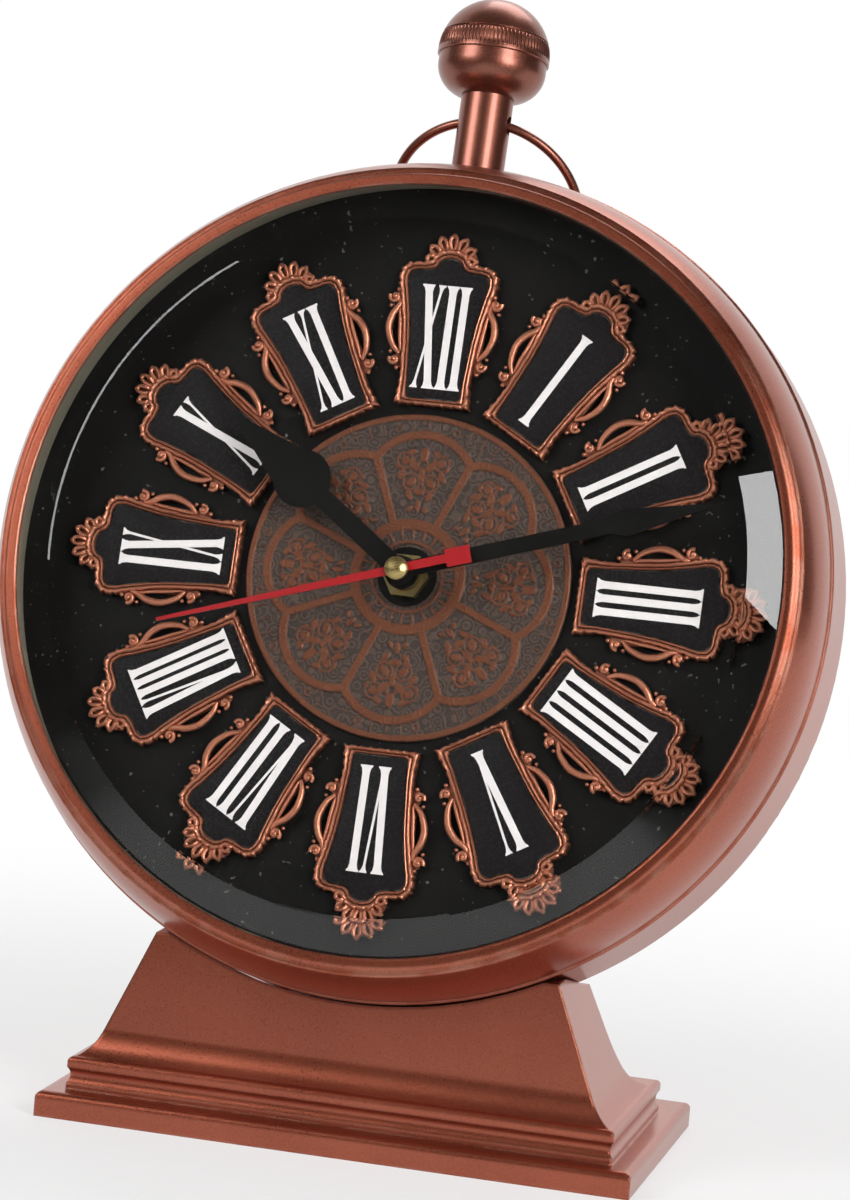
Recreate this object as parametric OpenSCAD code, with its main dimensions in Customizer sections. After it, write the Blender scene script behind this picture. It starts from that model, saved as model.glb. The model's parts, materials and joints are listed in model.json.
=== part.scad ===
// Table clock in the form of a pocket watch: a tilted round case with a bow and crown,
// held in the saddle of a moulded pedestal. Millimetres, +Z up, the dial faces -Y.
// Case pieces are drawn in the dial's own frame: x right, y up, z towards the viewer,
// with z = 0 on the front of the dial plate.

/* [Case] */
// Backward lean of the case
case_tilt = 14; // [8:1:18]
// Largest radius of the case, at its rear shoulder
case_r = 108.3; // [100:0.1:116]
// Narrowing of the case from its shoulder to the seam with the bezel
seam_step = 1.3; // [0.5:0.1:2]
// Depth of the case behind the front of the dial
case_back = 26; // [24:0.5:32]
// Radius of the rounded rear shoulder
shoulder_r = 5; // [3:0.5:6]
// Wall of the case at the seam
case_wall = 1.8; // [1.6:0.1:2.2]
// Width of the ledges that carry the dial and the rear cover
ledge_w = 8.7; // [7.5:0.1:10]
// Thickness of the ledge under the dial
ledge_t = 2.5; // [2:0.1:4]

/* [Bezel and glass] */
// Height of the lip in front of the dial
lip_z = 20.4; // [19.5:0.1:24]
// Distance from the seam in to the inner edge of the lip
lip_in = 9.4; // [9:0.1:11]
// Width of the flat lip
lip_w = 2.4; // [1.5:0.1:3]
// Thickness of the lip over the edge of the glass
lip_t = 1.1; // [0.8:0.1:1.5]
// Distance from the seam in to the start of the rounded band, beside the lip
band_in = 5; // [4.5:0.1:5.5]
// Radius of curvature of the band's section
band_bulge_r = 40; // [25:1:80]
// Sheet thickness of the bezel
bezel_t = 1.7; // [1.2:0.1:1.8]
// Radius of the bead along the seam
seam_bead_r = 0.7; // [0.4:0.1:1]
// Width of the glass rim under the lip
glass_rim_w = 2.2; // [1:0.1:2.3]
// Thickness of the glass rim under the lip
glass_rim_t = 1.8; // [1.5:0.1:2.5]
// Rise of the bevel from the rim to the flat
bevel_h = 3.2; // [1:0.1:4]
// Width of the bevel
bevel_w = 7; // [4:0.5:12]

/* [Dial] */
// Room for the bezel's spigot between the dial plate and the case
spigot_room = 3.2; // [3:0.1:4]
// Thickness of the dial plate
dial_t = 1.5; // [1:0.1:2]
// Radius of the stamped medallion
medallion_r = 42; // [36:0.5:43]
// Thickness of the medallion
medallion_t = 1; // [0.8:0.1:1.5]
// Height of the medallion's raised lines
relief_h = 0.35; // [0.2:0.05:0.6]
// Width of the medallion's raised lines
relief_w = 1.6; // [1:0.1:2.2]
// Number of petal panels on the medallion
petals = 8; // [6:1:10]

/* [Numeral frames] */
// Clearance between the medallion and the frames
frame_gap = 1.9; // [0.5:0.1:3]
// Distance from the dial's edge in to the shoulders of a frame
frame_edge = 23; // [22:0.5:28]
// Half width of the enamel plate at its inner end
plate_in_w = 8.4; // [7:0.1:8.6]
// Half width of the enamel plate at its shoulders
plate_out_w = 10.6; // [9:0.1:11]
// Radius of the plate's shoulders
plate_shoulder_r = 2.6; // [2:0.1:3.5]
// Radius of the lobe at the top of the plate
plate_lobe_r = 5.2; // [4:0.1:6]
// Width of the cast border round the plate
border_w = 1.5; // [1:0.1:1.8]
// Height of the cast border
border_h = 2.8; // [2.4:0.1:3.4]
// Thickness of the enamel plate
plate_t = 1.7; // [1:0.1:2]
// Length of the open scroll on each side of a frame
scroll_l = 14; // [10:0.5:16]
// Reach of the scroll beyond the border
scroll_w = 3; // [2:0.1:3.2]
// Thickness of the scroll's strand
scroll_t = 0.8; // [0.6:0.1:1]
// Radius of the beads at the ends of the scrolls
bead_r = 1.15; // [0.8:0.05:1.4]
// Number of lobes in the shell at the top of a frame
shell_lobes = 5; // [3:2:7]
// Radius of a shell lobe
shell_lobe_r = 1.7; // [1.2:0.1:2]

/* [Hands] */
// Length of the hour hand
hour_l = 62; // [50:1:70]
// Length of the minute hand
minute_l = 83; // [70:1:90]
// Length of the second hand
second_l = 63; // [50:1:80]
// Clock time that the hour and minute hands show, in hours
shown_time = 10.2; // [0:0.05:12]
// Second that the second hand shows
shown_second = 42; // [0:1:59]
// Radius of the disc on the hour hand
hour_disc_r = 7.5; // [5:0.1:9]
// Thickness of the hand blades
hand_t = 0.5; // [0.4:0.1:0.8]
// Running clearance between turning tubes
run_gap = 0.05; // [0.03:0.01:0.08]
// Clearance between pieces that are pressed or seated
seat_gap = 0.03; // [0.02:0.01:0.05]

/* [Movement] */
// Side of the square movement housing
movement_s = 56; // [54:1:60]
// Depth of the movement housing
movement_d = 16.5; // [16:0.5:17]
// Wall of the movement housing
movement_wall = 1.5; // [1.2:0.1:1.8]
// Outer radius of the threaded bush
bush_r = 4; // [3.8:0.1:4.5]
// Length of the threaded bush in front of the dial
bush_l = 5.4; // [5:0.1:5.5]
// Radius of the second arbor
second_arbor_r = 0.6; // [0.5:0.05:0.7]
// Outer radius of the minute arbor
minute_arbor_r = 1.5; // [1.4:0.05:1.6]
// Outer radius of the hour pipe
hour_pipe_r = 2.4; // [2.2:0.05:2.6]
// Distance from the hand arbors to the setting shaft
train_pitch = 12; // [11:0.5:12.5]
// Radius of the setting shaft
setting_shaft_r = 1.5; // [1.3:0.1:1.7]
// Radius of the setting knob
knob_r = 6; // [4:0.5:8]
// Radius of the round battery
battery_r = 7; // [6.8:0.1:7.1]
// Length of the round battery
battery_l = 49; // [46:0.5:49]

/* [Crown and bow] */
// Radius of the neck
neck_r = 6.85; // [6:0.05:8]
// Length of the neck above the case
neck_l = 21.6; // [20:0.1:26]
// Radius of the crown's cup
cup_r = 14.1; // [12:0.1:15]
// Height of the crown's cup
cup_h = 10.2; // [9:0.1:12]
// Overhang of the crown's cap over the cup
cap_lip = 0.5; // [0.3:0.1:1]
// Height of the straight rim of the cap
cap_rim_h = 1.4; // [1:0.1:2]
// Mean radius of the bow
bow_r = 25; // [24:0.5:28]
// Radius of the bow's wire
bow_wire_r = 1.2; // [1:0.1:1.4]
// Radius of the cross hole that the bow turns in
bow_hole_r = 2.5; // [2.3:0.1:2.8]
// Height of the cross hole above the case
bow_hole_h = 14.8; // [12:0.1:16]
// Angle of the resting bow behind the neck's line
bow_lean = 42; // [42:1:60]

/* [Pedestal] */
// Width of the plinth
plinth_w = 153; // [140:1:180]
// Depth of the plinth
plinth_d = 88; // [84:1:110]
// Height of the plinth
plinth_h = 6.5; // [5:0.5:8]
// Rounding of the plinth's upper edges
plinth_edge_r = 1.8; // [1:0.1:3]
// Step from the plinth's edge to the moulding at the sides and front
mould_inset = 6; // [4:0.5:8]
// Step from the plinth's edge to the moulding at the back
mould_rear_inset = 16; // [10:1:20]
// Height of the moulding
mould_h = 8.5; // [7.5:0.5:10]
// Radius of the moulding's rounded nose
nose_r = 1.4; // [1:0.1:2]
// Width of the flat between the nose and the body's sweeps
nose_flat = 0.4; // [0.2:0.1:0.8]
// Radius of the cove under the nose
cove_r = 3; // [2.5:0.1:3.5]
// Depth of the cove behind the nose
cove_d = 0.8; // [0.4:0.1:1.2]
// Step from the moulding's edge to the body at the sides
body_side_step = 4.5; // [3:0.5:8]
// Narrowing of each side of the body per millimetre of height
body_taper = 0.42; // [0.3:0.02:0.45]
// Step from the moulding's edge to the body at the front
body_front_step = 4.5; // [3:0.5:8]
// Backward slope of the body's front
front_slope = 0.09; // [0:0.01:0.15]
// Step from the moulding's edge to the body at the back
body_rear_step = 22; // [20:0.5:24]
// Forward slope of the body's back
rear_slope = 0.2; // [0.1:0.02:0.3]
// Radius of the sweep into the moulding at the sides and front
sweep_r = 12; // [9:0.5:15]
// Radius of the sweep into the moulding at the back
rear_sweep_r = 20.5; // [20:0.5:24]
// Width of the small step over the sweeps
sweep_step = 0.05; // [0.03:0.01:0.1]
// Front of the saddle behind the front of the dial
seat_back = 1.7; // [1:0.1:5]
// Height of the lowest part of the case above the table
saddle_h = 30.5; // [29:0.5:36]
// Wall of the hollow pedestal
pedestal_wall = 5; // [4:0.5:6]

/* [Hidden] */
$fn = 96;

// Paint and metal colours
copper_paint = [0.42, 0.20, 0.14];
bright_copper = [0.72, 0.42, 0.30];
patina = [0.40, 0.27, 0.21];
black = [0.06, 0.06, 0.06];
brass = [0.80, 0.68, 0.38];
steel = [0.62, 0.62, 0.64];

// Overlap that carries a cut past a face
eps = 0.1;

// Radii of the case, the bezel and what they hold
seam_r = case_r - seam_step;
case_bore_r = seam_r - case_wall;
ledge_r = case_bore_r - ledge_w;
dial_r = case_bore_r - spigot_room;
band_r = seam_r - band_in;
lip_r = seam_r - lip_in;
glass_r = lip_r + glass_rim_w;

// Inner end and shoulders of a numeral frame, from the dial centre
frame_in = medallion_r + frame_gap;
frame_shoulder = dial_r - frame_edge;

// Outline of the pedestal's body where it stands on the moulding
body_w = plinth_w - 2 * (mould_inset + body_side_step);
body_front = plinth_d / 2 - mould_inset - body_front_step;
body_rear = plinth_d / 2 - mould_rear_inset - body_rear_step;

// Levels of the pedestal
mould_top = plinth_h + mould_h;
horn_rise = 17.5;
body_top = saddle_h + horn_rise;

// Place of the dial centre, worked out from the saddle that carries the case
dial_h = saddle_h + case_r * cos(case_tilt) + case_back * sin(case_tilt);
dial_y = case_r * sin(case_tilt) - seat_back * cos(case_tilt)
    - body_front + front_slope * (saddle_h - mould_top);

// Levels along the dial's axis
dial_back = -dial_t;
ledge_back = dial_back - ledge_t;
glass_back = lip_z - lip_t - glass_rim_t;
cover_t = 1.5;
cover_inset = 2.5;
cover_front = -case_back + cover_inset;
flange_t = 2.5;
flange_front = cover_front + flange_t;
movement_back = dial_back - movement_d;
lid_t = 1.5;

// Radii of the rear cover and its seat
rear_lip_w = 1.8;
cover_gap = 0.3;
cover_seat_r = case_r - shoulder_r - rear_lip_w;
cover_r = cover_seat_r - cover_gap;

// Small screws
screw_r = 1.25;
screw_head_r = 2.2;
screw_head_h = 1.3;

// Stack of the hands in front of the dial
hand_gap = 0.6;
washer_t = 0.5;
nut_t = 2.4;
nut_af = 10.4;
hour_collar_h = 1.5;
hour_z = bush_l + hand_gap + hour_collar_h;
minute_collar_h = 1.9;
minute_z = hour_z + hand_t + hand_gap + minute_collar_h;
second_collar_h = 1.5;
second_z = minute_z + hand_t + hand_gap + second_collar_h;
cap_h = 2.6;
cap_r = 2.95;
cap_bore_h = 1.4;
end_play = 0.2;
pipe_proud = 0.3;

// Angles of the hands, clockwise from the top of the dial
hour_a = shown_time * 30;
minute_a = (shown_time - floor(shown_time)) * 360;
second_a = shown_second * 6;

// Motion work: pinion and wheel from minute arbor to setting shaft, and on to the hour pipe
pinion_teeth = 12;
wheel_teeth = 36;
hour_pinion_teeth = 10;
hour_wheel_teeth = 40;
first_module = 2 * train_pitch / (pinion_teeth + wheel_teeth);
second_module = 2 * train_pitch / (hour_pinion_teeth + hour_wheel_teeth);
gear_t = 1.4;
gear_gap = 0.5;
hour_gear_z = dial_back - movement_wall - gear_gap - gear_t;
first_gear_z = hour_gear_z - gear_gap - gear_t;

// Neck and bow
neck_forward = 2;
neck_sink = 0.75;
neck_z = -case_back / 2 + neck_forward;
neck_foot_y = case_r - neck_sink;
neck_top_y = neck_foot_y + neck_l;
bow_y = neck_foot_y + bow_hole_h;
neck_spigot_r = 3;
neck_end = 0.2;
neck_proud = 1;
crown_spigot_h = 3;
bow_sagitta = neck_r * neck_r / (2 * bow_r);

module in_case() {
    translate([0, dial_y, dial_h]) rotate([90 - case_tilt, 0, 0]) children();
}

// Children copied round the dial's axis
module ring_of(n, start = 0) {
    for (i = [0 : n - 1]) rotate([0, 0, start + i * 360 / n]) children();
}

// Tube or disc between two levels of the dial's axis
module tube(r_out, r_in, z0, z1) {
    difference() {
        translate([0, 0, z0]) cylinder(r = r_out, h = z1 - z0);
        translate([0, 0, z0 - eps]) cylinder(r = r_in, h = z1 - z0 + 2 * eps);
    }
}

// Pedestal: three tiers, each crossed from its front view and its side view.
// A side of the body is given as its foot on the moulding, its slope, the radius of its sweep
// and the step from its foot to the moulding's edge.

// Height of a sweep's centre over the moulding, so that it lands behind the nose and its flat
function sweep_rise(side) =
    let (
        steep = 1 + side[1] * side[1],
        run = (side[2] + sweep_step) * sqrt(steep) - side[3] + nose_r + nose_flat
    )
    (run * side[1] + sqrt(side[2] * side[2] * steep - run * run)) / steep;

// Centre of a side's sweep, which ends the small step away from the side's slope
function sweep_centre(side) =
    let (rise = sweep_rise(side), lean = sqrt(1 + side[1] * side[1]))
    [side[0] - side[1] * rise + (side[2] + sweep_step) * lean, mould_top + rise];

// Points of a side from its foot to its top, with the middle at x = 0
function side_points(side) =
    let (
        centre = sweep_centre(side),
        start = centre[1] - side[2] * side[1] / sqrt(1 + side[1] * side[1])
    )
    [[centre[0], mould_top - eps], [centre[0], start],
        [side[0] - side[1] * (start - mould_top), start],
        [side[0] - side[1] * (body_top - mould_top), body_top]];

// The same points on the negative side, from the top down
function mirrored(points) =
    [for (i = [len(points) - 1 : -1 : 0]) [-points[i][0], points[i][1]]];

// Body between a negative and a positive side, swept out over the moulding
module body_outline(neg, pos) {
    difference() {
        polygon(concat(side_points(pos), mirrored(side_points(neg))));
        translate(sweep_centre(pos)) circle(r = pos[2]);
        translate([-sweep_centre(neg)[0], sweep_centre(neg)[1]]) circle(r = neg[2]);
    }
}

// Slab from -neg to pos, between two levels, with rounded upper corners
module round_slab(neg, pos, z0, z1, r) {
    translate([r - neg, z0]) square([neg + pos - 2 * r, z1 - z0]);
    translate([-neg, z0]) square([neg + pos, z1 - z0 - r]);
    translate([r - neg, z1 - r]) circle(r = r);
    translate([pos - r, z1 - r]) circle(r = r);
}

// Moulding: a cove under a rounded nose
module mould_outline(neg, pos) {
    cove_out = cove_r - cove_d;
    cove_z = mould_top - 2 * nose_r - sqrt(pow(cove_r, 2) - pow(cove_out, 2));
    difference() {
        round_slab(neg, pos, plinth_h - eps, mould_top, nose_r);
        translate([-neg - cove_out, cove_z]) circle(r = cove_r);
        translate([pos + cove_out, cove_z]) circle(r = cove_r);
    }
}

// Front view and side view, run through each other
module crossed() {
    intersection() {
        rotate([90, 0, 0]) linear_extrude(plinth_d + 2 * eps, center = true) children(0);
        rotate([90, 0, 90]) linear_extrude(plinth_w + 2 * eps, center = true) children(1);
    }
}

module plinth_tier() {
    crossed() {
        round_slab(plinth_w / 2, plinth_w / 2, 0, plinth_h, plinth_edge_r);
        round_slab(plinth_d / 2, plinth_d / 2, 0, plinth_h, plinth_edge_r);
    }
}

// In the side views the front lies on the negative side
module mould_tier() {
    crossed() {
        mould_outline(plinth_w / 2 - mould_inset, plinth_w / 2 - mould_inset);
        mould_outline(plinth_d / 2 - mould_inset, plinth_d / 2 - mould_rear_inset);
    }
}

module body_tier() {
    flank = [body_w / 2, body_taper, sweep_r, body_side_step];
    front = [body_front, front_slope, sweep_r, body_front_step];
    rear = [body_rear, rear_slope, rear_sweep_r, body_rear_step];
    crossed() {
        body_outline(flank, flank);
        body_outline(front, rear);
    }
}

// Hollow of the casting, open underneath
module pedestal_hollow() {
    hollow_w = body_w - 4 * pedestal_wall;
    hollow_top = saddle_h - 2 * pedestal_wall;
    front = body_front - pedestal_wall * 1.2;
    rear = body_rear + pedestal_wall * 0.2;
    translate([-hollow_w / 2, -front, -eps])
        cube([hollow_w, front + rear, hollow_top + eps]);
    translate([-plinth_w / 2 + mould_inset + pedestal_wall,
        -plinth_d / 2 + mould_inset + pedestal_wall, -eps])
        cube([plinth_w - 2 * (mould_inset + pedestal_wall),
            plinth_d - mould_inset - mould_rear_inset - 2 * pedestal_wall,
            mould_top - pedestal_wall + eps]);
}

// Screws that hold the case down in the saddle
saddle_screw_x = 22;
saddle_screw_in = 9;
saddle_screw_z = -case_back + saddle_screw_in;
saddle_clear = 0.15;
saddle_web = 4;
saddle_screw_r = 2;
saddle_hole_r = saddle_screw_r + 0.2;
saddle_head_r = saddle_screw_r * 1.8;
saddle_head_h = saddle_screw_r * 1.2;
saddle_well_r = saddle_screw_r * 2.4;
saddle_nut_r = saddle_screw_r * 2;
saddle_nut_h = saddle_screw_r * 1.5;
saddle_seat_y = -(case_r + saddle_web);
saddle_nut_y = -sqrt(pow(case_bore_r, 2) - pow(saddle_screw_x + saddle_nut_r, 2)) + seat_gap;
saddle_screw_l = saddle_nut_y + saddle_nut_h + saddle_screw_r * 0.3 - saddle_seat_y;

module saddle_screw_places() {
    for (x = [-saddle_screw_x, saddle_screw_x])
        translate([x, 0, saddle_screw_z]) rotate([-90, 0, 0]) children();
}

// Outer form of the case, grown by a clearance and run on to the rear
module case_form(grow, run_back = 0) {
    rotate_extrude() polygon([
        [0, -case_back - run_back], [case_r + grow, -case_back - run_back],
        [case_r + grow, -case_back + shoulder_r],
        [seam_r + seam_bead_r + grow, seam_bead_r * 2], [band_r + grow, lip_z], [0, lip_z]]);
}

module pedestal() {
    color(copper_paint) difference() {
        union() {
            plinth_tier();
            mould_tier();
            body_tier();
        }
        pedestal_hollow();
        in_case() case_form(saddle_clear, plinth_d);
        in_case() saddle_screw_places() {
            translate([0, 0, saddle_seat_y - eps]) cylinder(r = saddle_hole_r, h = saddle_screw_l);
            translate([0, 0, saddle_seat_y - saddle_h]) cylinder(r = saddle_well_r, h = saddle_h);
        }
    }
}

module saddle_screws() {
    color(steel) in_case() saddle_screw_places() {
        translate([0, 0, saddle_seat_y]) cylinder(r = saddle_screw_r, h = saddle_screw_l);
        translate([0, 0, saddle_seat_y - saddle_head_h]) cylinder(r = saddle_head_r, h = saddle_head_h);
    }
}

module saddle_nuts() {
    color(steel) in_case() saddle_screw_places() difference() {
        translate([0, 0, saddle_nut_y]) cylinder(r = saddle_nut_r, h = saddle_nut_h, $fn = 6);
        translate([0, 0, saddle_nut_y - eps])
            cylinder(r = saddle_screw_r + seat_gap, h = saddle_nut_h + 2 * eps);
    }
}

// Case

bezel_screw_r = (dial_r + case_bore_r) / 2;
bezel_screw_start = 45;
bezel_screw_hole_r = 0.9;
bezel_screw_head_r = 1.5;
bezel_screw_head_h = 1;
bezel_screw_top = 1.4;
bezel_hole_top = bezel_screw_top + 0.2;

// Holes or shanks of the four screws through the dial ledge into the bezel
module bezel_screw_shanks(r, z0, z1) {
    ring_of(4, bezel_screw_start) translate([bezel_screw_r, 0, z0]) cylinder(r = r, h = z1 - z0);
}

cover_screw_r = (ledge_r + cover_r) / 2;

module cover_screw_shanks(r, z0, z1) {
    ring_of(4, 0) translate([cover_screw_r, 0, z0]) cylinder(r = r, h = z1 - z0);
}

module case_body() {
    color(copper_paint) in_case() difference() {
        rotate_extrude() difference() {
            union() {
                polygon([[ledge_r, -case_back + shoulder_r], [case_r, -case_back + shoulder_r],
                    [seam_r, 0], [ledge_r, 0]]);
                translate([ledge_r, -case_back])
                    square([case_r - shoulder_r - ledge_r, case_back]);
                translate([case_r - shoulder_r, -case_back + shoulder_r]) circle(r = shoulder_r);
            }
            translate([0, dial_back]) square([case_bore_r, dial_t + eps]);
            translate([0, flange_front]) square([case_bore_r, ledge_back - flange_front]);
            translate([0, -case_back - eps]) square([cover_seat_r, cover_front + case_back + eps]);
        }
        bezel_screw_shanks(bezel_screw_hole_r, ledge_back - eps, dial_back + eps);
        cover_screw_shanks(screw_r + seat_gap, cover_front - eps, flange_front + eps);
        saddle_screw_places() translate([0, 0, saddle_seat_y])
            cylinder(r = saddle_hole_r, h = saddle_screw_l);
        neck_place() translate([0, 0, neck_nut_y])
            cylinder(r = neck_spigot_r + seat_gap, h = case_r - neck_nut_y + eps);
    }
}

// Centre of the circle of radius r through two points, on the axis side of the chord
function arc_centre(a, b, r) =
    let (chord = b - a, half = norm(chord) / 2, inward = [chord[1], -chord[0]] / norm(chord))
    (a + b) / 2 + inward * sqrt(r * r - half * half);

groove_d = 0.6;
band_top = [band_r, lip_z - 2 * groove_d];
band_foot = [seam_r, seam_bead_r];
seam_bead_in = 0.1;
spigot_gap = 0.25;
spigot_in = dial_r + spigot_gap;
spigot_w = spigot_room - 2 * spigot_gap;
spigot_top = 2.2;
foot_step = 0.8;

module bezel_ring() {
    centre = arc_centre(band_top, band_foot, band_bulge_r);
    color(copper_paint) in_case() difference() {
        rotate_extrude() {
            intersection() {
                translate([ledge_r, 0]) square([case_r - ledge_r, band_top[1]]);
                difference() {
                    translate(centre) circle(r = band_bulge_r, $fn = 180);
                    translate(centre) circle(r = band_bulge_r - bezel_t, $fn = 180);
                }
            }
            polygon([
                [lip_r + lip_w + groove_d, lip_z - lip_t],
                band_top - [bezel_t - groove_d, groove_d], band_top - [groove_d, groove_d],
                [band_r - groove_d, lip_z - groove_d],
                [lip_r + lip_w + groove_d, lip_z - groove_d],
                [lip_r + lip_w, lip_z], [lip_r, lip_z], [lip_r, lip_z - lip_t]]);
            translate([seam_r - seam_bead_in, seam_bead_r + seam_bead_in]) circle(r = seam_bead_r);
            translate([spigot_in, dial_back + seam_bead_in])
                square([spigot_w, spigot_top - dial_back - seam_bead_in]);
            translate([spigot_in, 0]) square([seam_r - spigot_in - foot_step, spigot_top - eps]);
        }
        bezel_screw_shanks(bezel_screw_hole_r, dial_back - eps, bezel_hole_top);
    }
}

module bezel_screws() {
    color(steel) in_case() {
        bezel_screw_shanks(bezel_screw_hole_r - seat_gap, ledge_back, bezel_screw_top);
        bezel_screw_shanks(bezel_screw_head_r, ledge_back - bezel_screw_head_h, ledge_back);
    }
}

// Clearances of the glass in the lip, of the spacer in the bezel and of the bush in its holes
lip_gap = 0.2;
spacer_gap = 0.1;
bush_gap = 0.1;

module crystal() {
    rim_top = glass_back + glass_rim_t;
    flat_r = lip_r - bevel_w;
    color([0.85, 0.92, 0.92, 0.35]) in_case() rotate_extrude() polygon([
        [0, glass_back], [glass_r, glass_back], [glass_r, rim_top], [lip_r - lip_gap, rim_top],
        [flat_r, rim_top + bevel_h], [0, rim_top + bevel_h]]);
}

module spacer_ring() {
    color([0.2, 0.19, 0.16]) in_case() tube(glass_r - spacer_gap, lip_r, 0, glass_back);
}

module dial_plate() {
    color(black) in_case() tube(dial_r, bush_r + bush_gap, dial_back, 0);
}

// Medallion

hub_ring_r = medallion_r * 0.35;
petal_end_r = medallion_r * 0.85;
rim_line_r = medallion_r * 0.99;
relief_top = medallion_t + relief_h;

module medallion() {
    color(patina) in_case() difference() {
        union() {
            cylinder(r = medallion_r, h = medallion_t);
            tube(rim_line_r, rim_line_r - relief_w, medallion_t - eps, relief_top);
            tube(hub_ring_r, hub_ring_r - relief_w, medallion_t - eps, relief_top);
            translate([0, 0, medallion_t - eps]) linear_extrude(relief_h + eps) petal_lines();
        }
        translate([0, 0, -eps]) cylinder(r = bush_r + bush_gap, h = relief_top + 2 * eps);
    }
}

// Raised outline of the petals: radial ribs that fork into a round arch
module petal_lines() {
    half_a = 180 / petals;
    arch_r = petal_end_r * tan(half_a) * 0.86;
    arch_c = petal_end_r - arch_r;
    rib_half = relief_w * 0.55;
    hub_half = hub_ring_r * tan(half_a) - rib_half;
    arch_half = arch_c * tan(half_a) - rib_half;
    difference() {
        union() {
            ring_of(petals, half_a) translate([hub_ring_r - relief_w / 3, -relief_w / 2])
                square([arch_c - hub_ring_r, relief_w]);
            ring_of(petals) translate([arch_c, 0]) circle(r = arch_r + relief_w / 2);
        }
        ring_of(petals) translate([arch_c, 0]) circle(r = arch_r - relief_w / 2);
        circle(r = hub_ring_r - eps);
        ring_of(petals) polygon([
            [hub_ring_r, -hub_half], [arch_c, -arch_half], [arch_c, arch_half], [hub_ring_r, hub_half]]);
    }
}

// Numeral frames: drawn pointing along +y from the dial centre

// Outline of the enamel plate, grown on all sides
module cartouche(grow) {
    foot = frame_in + border_w;
    union() {
        polygon([
            [-plate_in_w - grow, foot - grow], [plate_in_w + grow, foot - grow],
            [plate_out_w + grow, frame_shoulder], [-plate_out_w - grow, frame_shoulder]]);
        for (side = [-1, 1])
            translate([side * (plate_out_w - plate_shoulder_r), frame_shoulder])
                circle(r = plate_shoulder_r + grow);
        translate([0, frame_shoulder]) circle(r = plate_lobe_r + grow);
    }
}

// Lens between two equal arcs, of a length and a width
module lens(l, w) {
    r = (l * l / 4 + w * w / 4) / w;
    intersection() {
        translate([r - w / 2, 0]) circle(r = r);
        translate([w / 2 - r, 0]) circle(r = r);
    }
}

// Half width of the border's outside at a distance from the dial centre
function border_half(v) =
    plate_in_w + border_w
    + (plate_out_w - plate_in_w) * (v - frame_in) / (frame_shoulder - frame_in);

scroll_v = frame_in * 0.42 + frame_shoulder * 0.58;

// Open scroll on one side, with a bead at each end
module side_scroll() {
    lean = atan((plate_out_w - plate_in_w) / (frame_shoulder - frame_in));
    bead_h = border_h * 0.6;
    translate([border_half(scroll_v) - border_w / 5, scroll_v]) rotate([0, 0, -lean]) {
        linear_extrude(border_h * 0.75) difference() {
            lens(scroll_l, 2 * scroll_w);
            lens(scroll_l - 3 * scroll_t, 2 * (scroll_w - scroll_t));
        }
        for (end = [-1, 1]) translate([bead_r * 0.7, end * (scroll_l + bead_r) / 2, 0]) {
            cylinder(r = bead_r, h = bead_h);
            translate([0, 0, bead_h]) sphere(r = bead_r, $fn = 32);
        }
    }
}

// Shell of lobes over the top of the frame
module shell_crown() {
    reach = plate_lobe_r + border_w + shell_lobe_r * 0.55;
    spread = 124;
    for (i = [0 : shell_lobes - 1])
        translate([0, frame_shoulder, 0]) rotate([0, 0, spread * (i / (shell_lobes - 1) - 0.5)])
            translate([0, reach, 0]) tube(shell_lobe_r, shell_lobe_r * 0.45, 0, border_h * 0.7);
}

module numeral_frame(hour) {
    color(bright_copper) in_case() rotate([0, 0, -30 * hour]) difference() {
        union() {
            linear_extrude(border_h) cartouche(border_w);
            side_scroll();
            mirror([1, 0, 0]) side_scroll();
            shell_crown();
        }
        translate([0, 0, -eps]) linear_extrude(border_h + 2 * eps) cartouche(seat_gap);
    }
}

module numeral_plate(hour) {
    color(black) in_case() rotate([0, 0, -30 * hour]) linear_extrude(plate_t) cartouche(0);
}

// Hands

// Bore of a hand through its blade and collar
module hand_bore(r, z, collar_h) {
    translate([0, 0, z - collar_h - eps]) cylinder(r = r, h = collar_h + hand_t + 2 * eps);
}

module hour_hand() {
    blade_w = 5;
    disc_at = hour_l * 0.58;
    hub_r = hour_pipe_r + 1.8;
    collar_r = hour_pipe_r + 0.9;
    tip_half = hour_disc_r * 0.8;
    tip_foot = disc_at + hour_disc_r * 0.53;
    color(black) in_case() rotate([0, 0, -hour_a]) difference() {
        union() {
            translate([0, 0, hour_z]) linear_extrude(hand_t) {
                translate([-blade_w / 2, 0]) square([blade_w, disc_at]);
                translate([0, disc_at]) circle(r = hour_disc_r);
                polygon([[-tip_half, tip_foot], [tip_half, tip_foot], [0, hour_l]]);
                circle(r = hub_r);
            }
            translate([0, 0, hour_z - hour_collar_h]) cylinder(r = collar_r, h = hour_collar_h + eps);
        }
        hand_bore(hour_pipe_r + seat_gap, hour_z, hour_collar_h);
    }
}

module minute_hand() {
    blade_w = 4;
    spade_w = 7;
    spade_at = minute_l * 0.7;
    spade_foot = spade_at - spade_w * 0.57;
    hub_r = minute_arbor_r + 2.4;
    collar_r = minute_arbor_r + 0.8;
    color(black) in_case() rotate([0, 0, -minute_a]) difference() {
        union() {
            translate([0, 0, minute_z]) linear_extrude(hand_t) {
                polygon([
                    [-blade_w / 2, 0], [blade_w / 2, 0], [blade_w / 2, spade_foot],
                    [spade_w / 2, spade_at], [0, minute_l], [-spade_w / 2, spade_at],
                    [-blade_w / 2, spade_foot]]);
                circle(r = hub_r);
            }
            translate([0, 0, minute_z - minute_collar_h])
                cylinder(r = collar_r, h = minute_collar_h + eps);
        }
        hand_bore(minute_arbor_r + seat_gap, minute_z, minute_collar_h);
    }
}

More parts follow.
